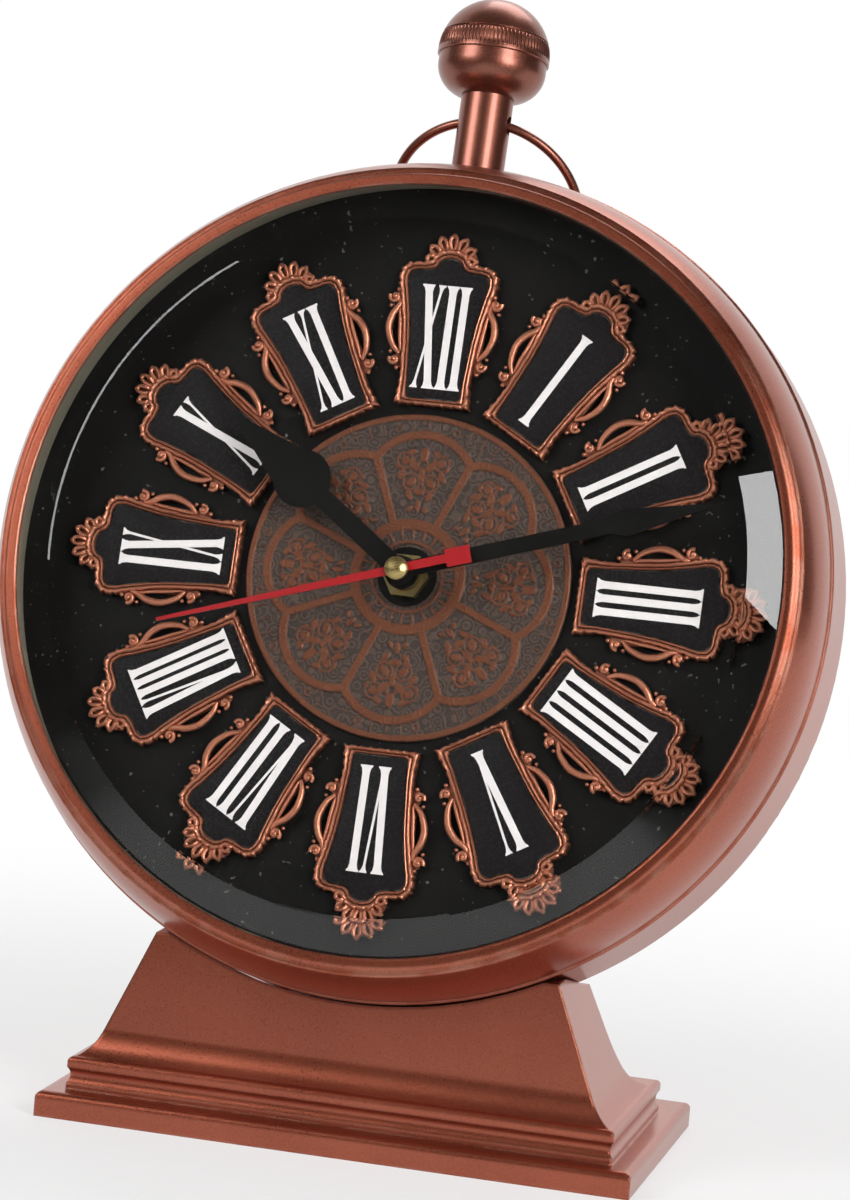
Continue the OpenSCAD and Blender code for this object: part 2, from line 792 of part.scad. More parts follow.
module second_hand() {
    root_half = 1.1;
    tip_half = 0.45;
    tail_l = second_l * 0.3;
    weight_l = tail_l / 3;
    weight_w = 4.5;
    hub_r = second_arbor_r + 1.8;
    collar_r = second_arbor_r + 0.5;
    color([0.75, 0.08, 0.08]) in_case() rotate([0, 0, -second_a]) difference() {
        union() {
            translate([0, 0, second_z]) linear_extrude(hand_t) {
                polygon([[-root_half, 0], [root_half, 0], [tip_half, second_l], [-tip_half, second_l]]);
                translate([-root_half, -tail_l]) square([2 * root_half, tail_l]);
                translate([-weight_w / 2, -tail_l]) square([weight_w, weight_l]);
                circle(r = hub_r);
            }
            translate([0, 0, second_z - second_collar_h])
                cylinder(r = collar_r, h = second_collar_h + eps);
        }
        hand_bore(second_arbor_r + seat_gap, second_z, second_collar_h);
    }
}

module second_cap() {
    dome_r = cap_r * 1.42;
    color(brass) in_case() translate([0, 0, second_z + hand_t]) difference() {
        rotate_extrude() intersection() {
            square([cap_r, cap_h]);
            translate([0, cap_h - dome_r]) circle(r = dome_r);
        }
        translate([0, 0, -eps]) cylinder(r = second_arbor_r + seat_gap, h = cap_bore_h + eps);
    }
}

// Movement

// Spur gear outline with involute flanks; heights are shares of the module, and a tooth takes
// a share of its half of the pitch, which leaves backlash
pressure_a = 20;
tip_share = 0.75;
root_share = 1.1;
tooth_share = 0.8;
flank_steps = 4;

function involute_deg(a) = tan(a) * 180 / PI - a;

function tooth_half_angle(r, base_r, pitch_half) =
    pitch_half + involute_deg(pressure_a) - involute_deg(acos(min(1, base_r / r)));

function gear_points(teeth, gear_module) =
    let (
        pitch_r = gear_module * teeth / 2,
        base_r = pitch_r * cos(pressure_a),
        tip_r = pitch_r + tip_share * gear_module,
        root_r = pitch_r - root_share * gear_module,
        pitch_half = 90 / teeth * tooth_share,
        foot_r = max(base_r, root_r),
        flank_r = [for (k = [0 : flank_steps]) foot_r + (tip_r - foot_r) * k / flank_steps],
        foot_a = tooth_half_angle(flank_r[0], base_r, pitch_half)
    )
    [for (t = [0 : teeth - 1])
        let (a = t * 360 / teeth)
        each concat(
            [root_r * [cos(a - foot_a), sin(a - foot_a)]],
            [for (k = [0 : flank_steps])
                let (h = tooth_half_angle(flank_r[k], base_r, pitch_half))
                flank_r[k] * [cos(a - h), sin(a - h)]],
            [for (k = [flank_steps : -1 : 0])
                let (h = tooth_half_angle(flank_r[k], base_r, pitch_half))
                flank_r[k] * [cos(a + h), sin(a + h)]],
            [root_r * [cos(a + foot_a), sin(a + foot_a)]])];

module gear(teeth, gear_module, z0, start) {
    translate([0, 0, z0]) rotate([0, 0, start]) linear_extrude(gear_t)
        polygon(gear_points(teeth, gear_module));
}

module hour_wheel() {
    pipe_l = hour_z + hand_t + pipe_proud - hour_gear_z;
    color([0.9, 0.9, 0.86]) in_case() difference() {
        union() {
            translate([0, 0, hour_gear_z]) cylinder(r = hour_pipe_r, h = pipe_l);
            gear(hour_wheel_teeth, second_module, hour_gear_z, 0);
        }
        translate([0, 0, hour_gear_z - eps])
            cylinder(r = minute_arbor_r + run_gap, h = pipe_l + 2 * eps);
    }
}

module minute_arbor() {
    arbor_l = minute_z + hand_t + pipe_proud - first_gear_z;
    color(brass) in_case() difference() {
        union() {
            translate([0, 0, first_gear_z]) cylinder(r = minute_arbor_r, h = arbor_l);
            gear(pinion_teeth, first_module, first_gear_z, 0);
        }
        translate([0, 0, first_gear_z - eps])
            cylinder(r = second_arbor_r + run_gap, h = arbor_l + 2 * eps);
    }
}

pivot_play = 0.3;
lid_boss_h = 2.6;
second_pivot_z = movement_back + lid_t + 2 * pivot_play;

module second_arbor() {
    collar_r = second_arbor_r + 1;
    collar_h = 1;
    collar_gap = 0.6;
    arbor_top = second_z + hand_t + cap_bore_h - end_play;
    color(steel) in_case() {
        translate([0, 0, second_pivot_z]) cylinder(r = second_arbor_r, h = arbor_top - second_pivot_z);
        translate([0, 0, first_gear_z - collar_gap - collar_h]) cylinder(r = collar_r, h = collar_h);
    }
}

// Rounded square block of the movement, between two levels
module movement_block(s, corner_r, z0, z1) {
    translate([0, 0, z0]) linear_extrude(z1 - z0) {
        square([s - 2 * corner_r, s], center = true);
        square([s, s - 2 * corner_r], center = true);
        for (x = [-1, 1], y = [-1, 1])
            translate([x, y] * (s / 2 - corner_r)) circle(r = corner_r);
    }
}

movement_corner_r = 4;
bay_clear = 0.4;
bay_wall = 1.2;
battery_y = -movement_s / 2 + bay_wall + bay_clear + battery_r;
battery_z = movement_back + bay_clear + battery_r;
contact_t = 0.4;
terminal_r = 2.7;
terminal_h = 0.8;
works_floor_y = battery_y + battery_r + bay_clear + bay_wall;

// Room for the battery, open at the back of the movement
module battery_bay() {
    bay_l = battery_l + 2 * (contact_t + bay_clear + terminal_h);
    translate([-bay_l / 2, battery_y, battery_z]) rotate([0, 90, 0])
        cylinder(r = battery_r + bay_clear, h = bay_l);
    translate([-bay_l / 2, battery_y - battery_r - bay_clear, movement_back - eps])
        cube([bay_l, 2 * (battery_r + bay_clear), battery_z - movement_back + eps]);
}

// Depth of the setting shaft's blind bearing in the housing's front wall
bearing_h = movement_wall * 0.6;

module movement_housing() {
    works_top = movement_s / 2 - movement_wall;
    works_w = movement_s - 2 * movement_wall;
    color(black) in_case() difference() {
        movement_block(movement_s, movement_corner_r, movement_back, dial_back);
        battery_bay();
        translate([-works_w / 2, works_floor_y, movement_back - eps])
            cube([works_w, works_top - works_floor_y, movement_d - movement_wall + eps]);
        translate([0, 0, dial_back - movement_wall - eps])
            cylinder(r = hour_pipe_r + run_gap, h = movement_wall + 2 * eps);
        translate([0, train_pitch, dial_back - movement_wall - eps])
            cylinder(r = setting_shaft_r + run_gap, h = bearing_h + eps);
    }
}

module movement_lid() {
    lid_gap = 0.15;
    lid_w = movement_s - 2 * (movement_wall + lid_gap);
    lid_top = movement_s / 2 - movement_wall - lid_gap;
    lid_foot = works_floor_y + lid_gap;
    boss_r = second_arbor_r + 1.6;
    color([0.12, 0.12, 0.12]) in_case() difference() {
        union() {
            translate([-lid_w / 2, lid_foot, movement_back])
                cube([lid_w, lid_top - lid_foot, lid_t]);
            translate([0, 0, movement_back + lid_t - eps]) cylinder(r = boss_r, h = lid_boss_h);
        }
        translate([0, 0, second_pivot_z - pivot_play])
            cylinder(r = second_arbor_r + run_gap, h = lid_boss_h);
        translate([0, train_pitch, movement_back - eps])
            cylinder(r = setting_shaft_r + run_gap, h = lid_t + 2 * eps);
    }
}

module threaded_bush() {
    color(brass) in_case() tube(bush_r, hour_pipe_r + run_gap, dial_back, bush_l);
}

module mounting_washer() {
    color(brass) in_case()
        tube(bush_r * 1.9, bush_r + seat_gap, medallion_t, medallion_t + washer_t);
}

module mounting_nut() {
    nut_z = medallion_t + washer_t;
    color(brass) in_case() difference() {
        translate([0, 0, nut_z]) cylinder(r = nut_af / sqrt(3), h = nut_t, $fn = 6);
        translate([0, 0, nut_z - eps]) cylinder(r = bush_r + seat_gap, h = nut_t + 2 * eps);
    }
}

// Knob behind the movement, with the shaft and the wheels that it turns
module setting_knob() {
    knob_h = 4;
    knob_z = movement_back - 2 * pivot_play - knob_h;
    shaft_top = dial_back - movement_wall + bearing_h - pivot_play;
    flutes = 24;
    flute_r = 0.5;
    color([0.9, 0.9, 0.86]) in_case() translate([0, train_pitch, 0]) {
        translate([0, 0, knob_z]) cylinder(r = setting_shaft_r, h = shaft_top - knob_z);
        gear(wheel_teeth, first_module, first_gear_z, 180 / wheel_teeth);
        gear(hour_pinion_teeth, second_module, hour_gear_z, 0);
        difference() {
            translate([0, 0, knob_z]) cylinder(r = knob_r, h = knob_h);
            ring_of(flutes) translate([knob_r + flute_r / 2, 0, knob_z - eps])
                cylinder(r = flute_r, h = knob_h + 2 * eps);
        }
    }
}

module battery() {
    color([0.35, 0.37, 0.40]) in_case() translate([0, battery_y, battery_z]) rotate([0, 90, 0]) {
        translate([0, 0, -battery_l / 2]) cylinder(r = battery_r, h = battery_l);
        translate([0, 0, battery_l / 2 - eps]) cylinder(r = terminal_r, h = terminal_h + eps);
    }
}

module battery_contacts() {
    plate = 10;
    color(steel) in_case() {
        translate([battery_l / 2 + terminal_h + seat_gap, battery_y - plate / 2, battery_z - plate / 2])
            cube([contact_t, plate, plate]);
        translate([-battery_l / 2 - contact_t - seat_gap, battery_y - plate / 2, battery_z - plate / 2])
            cube([contact_t, plate, plate]);
    }
}

// Rear cover: a flat disc with a pressed rim and a window over the movement
window_gap = 3;
window_s = movement_s + 2 * window_gap;

module rear_cover() {
    cover_back = cover_front - cover_t;
    rim_r = cover_r - ledge_w;
    rim_w = 2;
    rim_h = 0.6;
    color(copper_paint) in_case() difference() {
        union() {
            translate([0, 0, cover_back]) cylinder(r = cover_r, h = cover_t);
            tube(rim_r, rim_r - rim_w, cover_back - rim_h, cover_back + eps);
        }
        movement_block(window_s, movement_corner_r, cover_back - eps, cover_front + eps);
        cover_screw_shanks(screw_r + seat_gap, cover_back - eps, cover_front + eps);
    }
}

module rear_cover_screws() {
    head_z = cover_front - cover_t;
    color(steel) in_case() {
        cover_screw_shanks(screw_r, head_z, flange_front);
        cover_screw_shanks(screw_head_r, head_z - screw_head_h, head_z);
    }
}

// Crown and bow: drawn along the neck's line, which runs up the case

module neck_place() {
    translate([0, 0, neck_z]) rotate([-90, 0, 0]) children();
}

neck_nut_r = neck_spigot_r * 1.87;
neck_nut_h = 3.2;
neck_nut_y = case_bore_r - neck_nut_h - neck_end;

module neck() {
    color(copper_paint) in_case() {
        difference() {
            neck_place() difference() {
                translate([0, 0, case_bore_r]) cylinder(r = neck_r, h = neck_top_y - case_bore_r);
                translate([-neck_r - eps, 0, bow_y]) rotate([0, 90, 0])
                    cylinder(r = bow_hole_r, h = 2 * (neck_r + eps));
            }
            case_form(seat_gap);
        }
        neck_place() {
            translate([0, 0, neck_top_y - eps]) cylinder(r = neck_spigot_r, h = cup_h + crown_spigot_h);
            translate([0, 0, neck_nut_y - neck_proud])
                cylinder(r = neck_spigot_r, h = case_r + neck_proud - neck_nut_y + neck_proud);
        }
    }
}

module neck_nut() {
    color(steel) in_case() neck_place() difference() {
        translate([0, 0, neck_nut_y]) cylinder(r = neck_nut_r, h = neck_nut_h, $fn = 6);
        translate([0, 0, neck_nut_y - eps])
            cylinder(r = neck_spigot_r + seat_gap, h = neck_nut_h + 2 * eps);
    }
}

module crown_cup() {
    corner_r = cup_h * 0.8;
    color(copper_paint) in_case() neck_place() translate([0, 0, neck_top_y]) rotate_extrude() {
        difference() {
            union() {
                square([cup_r - corner_r, cup_h]);
                translate([0, corner_r]) square([cup_r, cup_h - corner_r]);
                intersection() {
                    translate([cup_r - corner_r, corner_r]) circle(r = corner_r);
                    square([cup_r, cup_h]);
                }
            }
            square([neck_spigot_r + seat_gap, cup_h + eps]);
        }
    }
}

module crown_cap() {
    cap_base = neck_top_y + cup_h;
    dome_r = cup_r + cap_lip;
    color(copper_paint) in_case() neck_place() translate([0, 0, cap_base]) difference() {
        rotate_extrude() {
            square([dome_r, cap_rim_h]);
            intersection() {
                translate([0, cap_rim_h]) circle(r = dome_r);
                translate([0, cap_rim_h - eps]) square([dome_r, dome_r + 2 * eps]);
            }
        }
        translate([0, 0, -eps])
            cylinder(r = neck_spigot_r + seat_gap, h = crown_spigot_h + neck_end + 2 * eps);
    }
}

// Wire ring through the neck, leaning back on the rear edge of the case
module bow_ring() {
    color(copper_paint) in_case() translate([0, bow_y, neck_z]) rotate([bow_lean, 0, 0])
        translate([0, bow_sagitta / 2 - bow_r, 0])
            rotate_extrude() translate([bow_r, 0]) circle(r = bow_wire_r, $fn = 48);
}

pedestal();
saddle_screws();
saddle_nuts();
case_body();
bezel_ring();
bezel_screws();
crystal();
spacer_ring();
dial_plate();
medallion();
numeral_frame(1);  // numeral_frame_01
numeral_frame(2);  // numeral_frame_02
numeral_frame(3);  // numeral_frame_03
numeral_frame(4);  // numeral_frame_04
numeral_frame(5);  // numeral_frame_05
numeral_frame(6);  // numeral_frame_06
numeral_frame(7);  // numeral_frame_07
numeral_frame(8);  // numeral_frame_08
numeral_frame(9);  // numeral_frame_09
numeral_frame(10);  // numeral_frame_10
numeral_frame(11);  // numeral_frame_11
numeral_frame(12);  // numeral_frame_12
numeral_plate(1);  // numeral_plate_01
numeral_plate(2);  // numeral_plate_02
numeral_plate(3);  // numeral_plate_03
numeral_plate(4);  // numeral_plate_04
numeral_plate(5);  // numeral_plate_05
numeral_plate(6);  // numeral_plate_06
numeral_plate(7);  // numeral_plate_07
numeral_plate(8);  // numeral_plate_08
numeral_plate(9);  // numeral_plate_09
numeral_plate(10);  // numeral_plate_10
numeral_plate(11);  // numeral_plate_11
numeral_plate(12);  // numeral_plate_12
hour_hand();
hour_wheel();
minute_hand();
minute_arbor();
second_hand();
second_cap();
second_arbor();
movement_housing();
movement_lid();
threaded_bush();
mounting_washer();
mounting_nut();
setting_knob();
battery();
battery_contacts();
rear_cover();
rear_cover_screws();
neck();
neck_nut();
crown_cup();
crown_cap();
bow_ring();
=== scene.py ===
"""Looks of a table clock in the form of a pocket watch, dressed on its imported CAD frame.

Meshes are drawn in millimetres in the dial's own frame: x right, y up, z out of the dial.
"""

import json
import math

import bmesh
import bpy
import numpy as np
from bpy.props import FloatProperty, FloatVectorProperty, IntProperty, PointerProperty
from mathutils import Matrix, Vector


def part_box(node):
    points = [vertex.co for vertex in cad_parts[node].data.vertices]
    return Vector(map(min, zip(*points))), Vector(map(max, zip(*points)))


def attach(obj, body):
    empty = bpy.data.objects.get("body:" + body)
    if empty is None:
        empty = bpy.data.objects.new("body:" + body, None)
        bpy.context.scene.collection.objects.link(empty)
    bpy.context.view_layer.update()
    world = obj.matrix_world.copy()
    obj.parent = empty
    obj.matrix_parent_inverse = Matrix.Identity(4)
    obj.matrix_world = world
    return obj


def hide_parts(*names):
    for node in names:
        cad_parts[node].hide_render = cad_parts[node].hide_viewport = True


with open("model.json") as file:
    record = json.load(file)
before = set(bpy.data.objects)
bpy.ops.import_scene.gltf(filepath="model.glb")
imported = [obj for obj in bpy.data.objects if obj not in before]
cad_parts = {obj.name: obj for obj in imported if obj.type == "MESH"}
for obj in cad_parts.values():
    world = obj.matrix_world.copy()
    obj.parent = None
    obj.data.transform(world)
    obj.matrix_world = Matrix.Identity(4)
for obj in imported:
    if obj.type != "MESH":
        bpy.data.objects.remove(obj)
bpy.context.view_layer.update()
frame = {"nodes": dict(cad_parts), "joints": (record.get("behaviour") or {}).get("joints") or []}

bl_info = {
    "name": "Pocket Watch Table Clock",
    "version": (1, 0, 0),
    "blender": (4, 5, 0),
    "location": "3D View > Sidebar > Clock",
    "description": "Dresses the CAD frame of a table clock with cast, printed and painted pieces",
    "category": "Object",
}

MM = 0.001
HOURS = range(1, 13)
NUMERALS = ("I", "II", "III", "IIII", "V", "VI", "VII", "VIII", "IX", "X", "XI", "XII")
NODES = frame["nodes"]


def dial_place():
    """Place of the dial's centre: x right, y up the dial, z out of it."""
    joint = next(joint for joint in frame["joints"] if joint["name"] == "minute_turn")
    out = Vector(joint["axis"]).normalized()
    right = Vector((1, 0, 0))
    place = Matrix((right, out.cross(right), out)).transposed().to_4x4()
    place.translation = Vector(joint["pos_m"])
    return place


DIAL = dial_place()


def in_dial(node):
    """Lowest and highest corner of a CAD node in the dial's frame, in millimetres."""
    vertices = NODES[node].data.vertices
    points = np.empty(3 * len(vertices))
    vertices.foreach_get("co", points)
    turn = np.array(DIAL.inverted())
    points = (points.reshape(-1, 3) @ turn[:3, :3].T + turn[:3, 3]) / MM
    return points.min(axis=0), points.max(axis=0)


# Properties


def length(label, text, value):
    """A length property in metres."""
    return FloatProperty(name=label, description=text, default=value, unit="LENGTH")


def power(label, text, value):
    """A lamp's power property in watts."""
    return FloatProperty(name=label, description=text, default=value, unit="POWER")


def colour(label, text, value):
    """A colour property in linear RGB."""
    return FloatVectorProperty(
        name=label, description=text, default=value, subtype="COLOR", size=3, min=0, max=1
    )


def count(label, text, value):
    """A property that counts."""
    return IntProperty(name=label, description=text, default=value)


class ClockOrnament(bpy.types.PropertyGroup):
    """Sizes of the numeral frames, the medallion and the crown."""

    frame_foot: length(
        "Frame Foot", "Distance from the dial centre to the foot of a numeral frame", 0.0439
    )
    border_height: length("Border Height", "Height of the cast border over the dial", 0.0028)
    plate_height: length("Plate Height", "Height of the enamel plate over the dial", 0.0017)
    numeral_foot: length(
        "Numeral Foot", "Distance from the frame's foot to the foot of its numeral", 0.0046
    )
    numeral_height: length("Numeral Height", "Height of the printed numerals", 0.027)
    stem: length("Stem", "Width of a numeral's thick stroke", 0.0019)
    hairline: length("Hairline", "Width of a numeral's thin stroke", 0.0006)
    shell_ribs: count("Shell Ribs", "Number of ribs in the shell over a frame", 7)
    petals: count("Petals", "Number of panels on the medallion", 8)
    relief: length("Relief", "Height of the medallion's pattern", 0.00035)
    knurls: count("Knurls", "Number of flutes round the crown", 84)


class ClockFinish(bpy.types.PropertyGroup):
    """Colours of the clock's finishes."""

    paint: colour("Paint", "Copper-brown metallic paint", (0.440, 0.116, 0.064))
    paint_dark: colour("Dark Paint", "Paint where it lies thicker", (0.280, 0.068, 0.036))
    # Painted shade: a darker copy of the case paint for the neck, the crown and the bow.
    shaded_crown_paint: colour(
        "Crown Paint", "Browner paint of the neck, the crown and the bow", (0.290, 0.100, 0.066)
    )
    shaded_crown_paint_dark: colour("Dark Crown Paint", "The same where it lies thicker", (0.170, 0.055, 0.036))
    copper: colour("Copper", "Polished copper of the numeral frames", (0.520, 0.200, 0.120))
    # Painted shade as well as patina: the dark copper of the casting's hollows.
    copper_dark: colour("Dark Copper", "Copper in the hollows of a casting", (0.090, 0.028, 0.015))
    # Painted highlight as well as wear: the paler paint along the edges.
    rubbed_and_highlight: colour("Rubbed Paint", "Paint along the edges, worn thin", (0.62, 0.33, 0.24))
    stamped: colour("Stamped Copper", "High places of the medallion", (0.150, 0.050, 0.024))
    patina: colour("Patina", "Grey bloom in the medallion's hollows", (0.046, 0.028, 0.021))
    dial: colour("Dial", "Black of the dial plate", (0.0042, 0.0036, 0.0034))
    enamel: colour("Enamel", "Black of the numeral plates", (0.010, 0.0085, 0.0090))
    print: colour("Print", "White of the printed numerals", (0.72, 0.665, 0.665))
    hand: colour("Hand", "Black of the hour and minute hands", (0.0035, 0.0032, 0.0030))
    red: colour("Red", "Red of the second hand", (0.33, 0.004, 0.007))
    brass: colour("Brass", "Turned brass of the cap, nut and bush", (0.66, 0.50, 0.21))
    steel: colour("Steel", "Zinc-plated steel of the screws", (0.50, 0.50, 0.52))
    spacer: colour("Spacer", "Olive wall between dial and glass", (0.150, 0.140, 0.105))
    housing: colour("Housing", "Black plastic of the movement", (0.014, 0.014, 0.015))
    acetal: colour("Acetal", "White plastic of the wheels and the knob", (0.78, 0.77, 0.70))
    jacket: colour("Jacket", "Grey jacket of the battery", (0.11, 0.12, 0.14))


class ClockStage(bpy.types.PropertyGroup):
    """Camera and light."""

    lens: FloatProperty(
        name="Lens", description="Camera's focal length", default=121.88, subtype="DISTANCE_CAMERA"
    )
    key_power: power("Key Power", "Power of the softbox on the right", 12.5)
    fill_power: power("Fill Power", "Power of the large light on the left", 12.5)
    top_power: power("Top Power", "Power of the light overhead", 8)
    ambient: FloatProperty(
        name="Ambient", description="Level of the room's light", default=0.22, min=0, max=1
    )


# Shader maths


class Value:
    """A shader socket that takes part in arithmetic."""

    def __init__(self, shader, socket):
        self.shader = shader
        self.socket = socket

    def math(self, operation, *others):
        """A math node of this value and others."""
        values = {i: value for i, value in enumerate((self, *others))}
        return self.shader.node("Math", {"operation": operation}, values)

    def __add__(self, other):
        return self.math("ADD", other)

    __radd__ = __add__

    def __sub__(self, other):
        return self.math("SUBTRACT", other)

    def __rsub__(self, other):
        return self.shader.node("Math", {"operation": "SUBTRACT"}, {0: other, 1: self})

    def __mul__(self, other):
        return self.math("MULTIPLY", other)

    def __truediv__(self, other):
        return self.math("DIVIDE", other)

    def ramp(self, low, high):
        """0 below low, 1 above high, and smooth between."""
        settings = {"interpolation_type": "SMOOTHSTEP", "clamp": True}
        return self.shader.node(
            "MapRange", settings, {"Value": self, "From Min": low, "From Max": high}
        )

    def mix(self, low, high):
        """Colour between two colours, by this value."""
        ends = [c if isinstance(c, Value) else (*c, 1) for c in (low, high)]
        sockets = {"Factor": self, 6: ends[0], 7: ends[1]}
        return self.shader.node("Mix", {"data_type": "RGBA"}, sockets, 2)


class Shader:
    """Node tree of one material or of the world."""

    def __init__(self, owner):
        self.owner = owner
        owner.use_nodes = True
        self.tree = owner.node_tree
        self.tree.nodes.clear()

    def node(self, kind, settings, sockets, output=0):
        """A node of a kind, with its settings, then its sockets' values or links."""
        node = self.tree.nodes.new("ShaderNode" + kind)
        for key, value in settings.items():
            setattr(node, key, value)
        for key, value in sockets.items():
            if isinstance(value, Value):
                self.tree.links.new(value.socket, node.inputs[key])
            else:
                node.inputs[key].default_value = value
        return Value(self, node.outputs[output]) if node.outputs else node

    def place(self):
        """Position on the piece in its own frame, in metres."""
        return self.node("TexCoord", {}, {}, "Object")

    def along(self, axis):
        """Position along one axis of the piece, in metres."""
        return self.node("SeparateXYZ", {}, {0: self.place()}, axis)

    def noise(self, size, detail=2.0, roughness=0.5):
        """Cloudy pattern from 0 to 1 whose patches are about this size in metres."""
        sockets = {"Vector": self.place(), "Scale": 1 / size}
        return self.node("TexNoise", {}, {**sockets, "Detail": detail, "Roughness": roughness})

    def bump(self, height, distance, strength=1.0, normal=None):
        """Normal of a surface raised by a height from 0 to 1 times a distance in metres."""
        sockets = {"Height": height, "Distance": distance, "Strength": strength}
        if normal:
            sockets["Normal"] = normal
        return self.node("Bump", {}, sockets)

    def soft_edge(self, radius):
        """Normal rounded over the edges, and 0 to 1 for how near an edge is."""
        rounded = self.node("Bevel", {"samples": 4}, {"Radius": radius}, "Normal")
        flat = self.node("NewGeometry", {}, {}, "Normal")
        same = self.node("VectorMath", {"operation": "DOT_PRODUCT"}, {0: rounded, 1: flat}, "Value")
        return rounded, (1 - same).ramp(0.01, 0.16)

    def principled(self, **sockets):
        """The main shader; _ in a socket's name stands for a space."""
        named = {key.replace("_", " "): value for key, value in sockets.items()}
        return self.node("BsdfPrincipled", {}, named)

    def surface(self, shader):
        """Sets the surface, and gives the material or the world."""
        kind = "OutputWorld" if isinstance(self.owner, bpy.types.World) else "OutputMaterial"
        self.node(kind, {}, {"Surface": shader})
        return self.owner


def new_shader(name):
    """Shader of a new material."""
    return Shader(bpy.data.materials.new(name))


# Finishes


def copper_paint(name, light, dark, wear_and_light, roughness, edge_radius):
    """Satin metallic paint, clouded, with fine flakes, a thin clear coat and paler edges, part wear
    and part painted highlight.
    """
    s = new_shader(name)
    cloud = s.noise(0.045, 3)
    flake = s.noise(0.00045, 1)
    peel = s.noise(0.0016, 2)
    tone = (cloud * 0.55 + flake * 0.6 - 0.05).ramp(0.15, 0.85)
    rounded, edge = s.soft_edge(edge_radius)
    # Paler paint along the edges: part wear, part painted highlight.
    rubbed_and_highlight = edge * s.noise(0.007, 3).ramp(0.35, 0.62) * 0.6
    return s.surface(
        s.principled(
            Base_Color=rubbed_and_highlight.mix(tone.mix(dark, light), wear_and_light),
            Metallic=0.88,
            Roughness=roughness + flake * 0.10 + cloud * 0.03,
            Specular_IOR_Level=0.3,
            Coat_Weight=0.35,
            Coat_Roughness=0.16,
            Normal=s.bump(peel * 0.7 + flake * 0.3, 0.00002, 0.6, rounded),
        )
    )


def cast_copper(finish):
    """Copper plating over a rough casting, bright high up and on its ridges from wear, dark low
    down and in its hollows from patina and painted shade.
    """
    s = new_shader("Cast copper")
    pitted = s.noise(0.0007, 3, 0.6)
    carved = s.noise(0.0018, 2)
    cloud = s.noise(0.006, 2)
    height = s.along("Z")
    ridge = s.node("NewGeometry", {}, {}, "Pointiness")
    # Painted shade and patina: the dark copper goes low down and into the hollows, by height and
    # pointiness; the bright copper on top and on the ridges is wear.
    wear_and_light = (height * 420 + (ridge - 0.5) * 6 + pitted * 0.5 - 0.75).ramp(0, 0.85)
    base = wear_and_light.mix(finish.copper_dark, finish.copper)
    return s.surface(
        s.principled(
            Base_Color=base,
            Metallic=0.80,
            Roughness=0.44 - wear_and_light * 0.12 + cloud * 0.08,
            Normal=s.bump(pitted * 0.5 + carved * 0.5, 0.00030, 0.8),
        )
    )


def stamped_copper(finish, floor, relief):
    """Medallion: brown copper on the high places, grey bloom and fine scratches below."""
    s = new_shader("Stamped copper")
    height = s.along("Z")
    cloud = s.noise(0.009, 3)
    grain = s.noise(0.0006, 3, 0.65)
    vein = s.node(
        "TexVoronoi",
        {"feature": "DISTANCE_TO_EDGE"},
        {"Vector": s.place(), "Scale": 820.0},
        "Distance",
    )
    scratch = 1 - vein.ramp(0.02, 0.10)
    cell = s.node("TexVoronoi", {}, {"Vector": s.place(), "Scale": 330.0}, "Distance")
    curl = (cell * 21).math("SINE").ramp(-0.1, 0.5)
    high = ((height - floor) / relief + (grain - 0.5) * 0.9 + (cloud - 0.5) * 0.5).ramp(0.3, 0.8)
    lines = (scratch * 0.3 + curl * 0.7) * (1 - high) + cloud * 0.2
    bloom = lines.mix([c * 0.55 for c in finish.patina], [c * 1.7 for c in finish.patina])
    tone = high.mix(bloom, finish.stamped)
    return s.surface(
        s.principled(
            Base_Color=tone,
            Metallic=0.35 + high * 0.3,
            Roughness=0.58 - high * 0.16 + grain * 0.1,
            Normal=s.bump(grain * 0.6 + curl * 0.8, 0.00014, 0.8),
        )
    )


def satin_black(name, base, roughness, specks=0.0):
    """Black paint with a fine texture, and a few grey specks of dust."""
    s = new_shader(name)
    grain = s.noise(0.0005, 2)
    cloud = s.noise(0.02, 2)
    dust = s.noise(0.0011, 0).ramp(0.78, 0.84) * specks
    tone = (dust + cloud * 0.03).mix(base, (0.20, 0.19, 0.18))
    return s.surface(
        s.principled(
            Base_Color=tone,
            Roughness=roughness + grain * 0.08,
            Specular_IOR_Level=0.07,
            Normal=s.bump(grain, 0.00003, 0.6),
        )
    )


def gloss_enamel(finish, top):
    """Deep gloss with a slight waviness and faint wear, pale in places along its sloping edge from
    wear and painted highlight.
    """
    s = new_shader("Black enamel")
    wave = s.noise(0.006, 1)
    grain = s.noise(0.0008, 2)
    height = s.along("Z")
    # Pale band on the sloping edge of the plate: part wear, part painted highlight.
    rubbed_and_highlight = s.noise(0.004, 2).ramp(0.42, 0.60) * (1 - height.ramp(top * 0.88, top * 0.99))
    tone = (grain * 0.012 + rubbed_and_highlight).mix(finish.enamel, (0.30, 0.28, 0.27))
    return s.surface(
        s.principled(
            Base_Color=tone,
            Roughness=0.22 + grain * 0.10,
            Specular_IOR_Level=0.16,
            Normal=s.bump(wave, 0.00008, 0.35),
        )
    )


def printed_white(finish):
    """White print, very slightly mottled."""
    s = new_shader("Printed white")
    grain = s.noise(0.0006, 2)
    tone = grain.mix([c * 0.93 for c in finish.print], finish.print)
    return s.surface(s.principled(Base_Color=tone, Roughness=0.5 + grain * 0.1))


def gloss_red(finish):
    """Red lacquer, a little uneven."""
    s = new_shader("Red lacquer")
    grain = s.noise(0.0012, 2)
    tone = grain.mix([c * 0.82 for c in finish.red], finish.red)
    return s.surface(
        s.principled(Base_Color=tone, Roughness=0.32 + grain * 0.08, Specular_IOR_Level=0.3)
    )


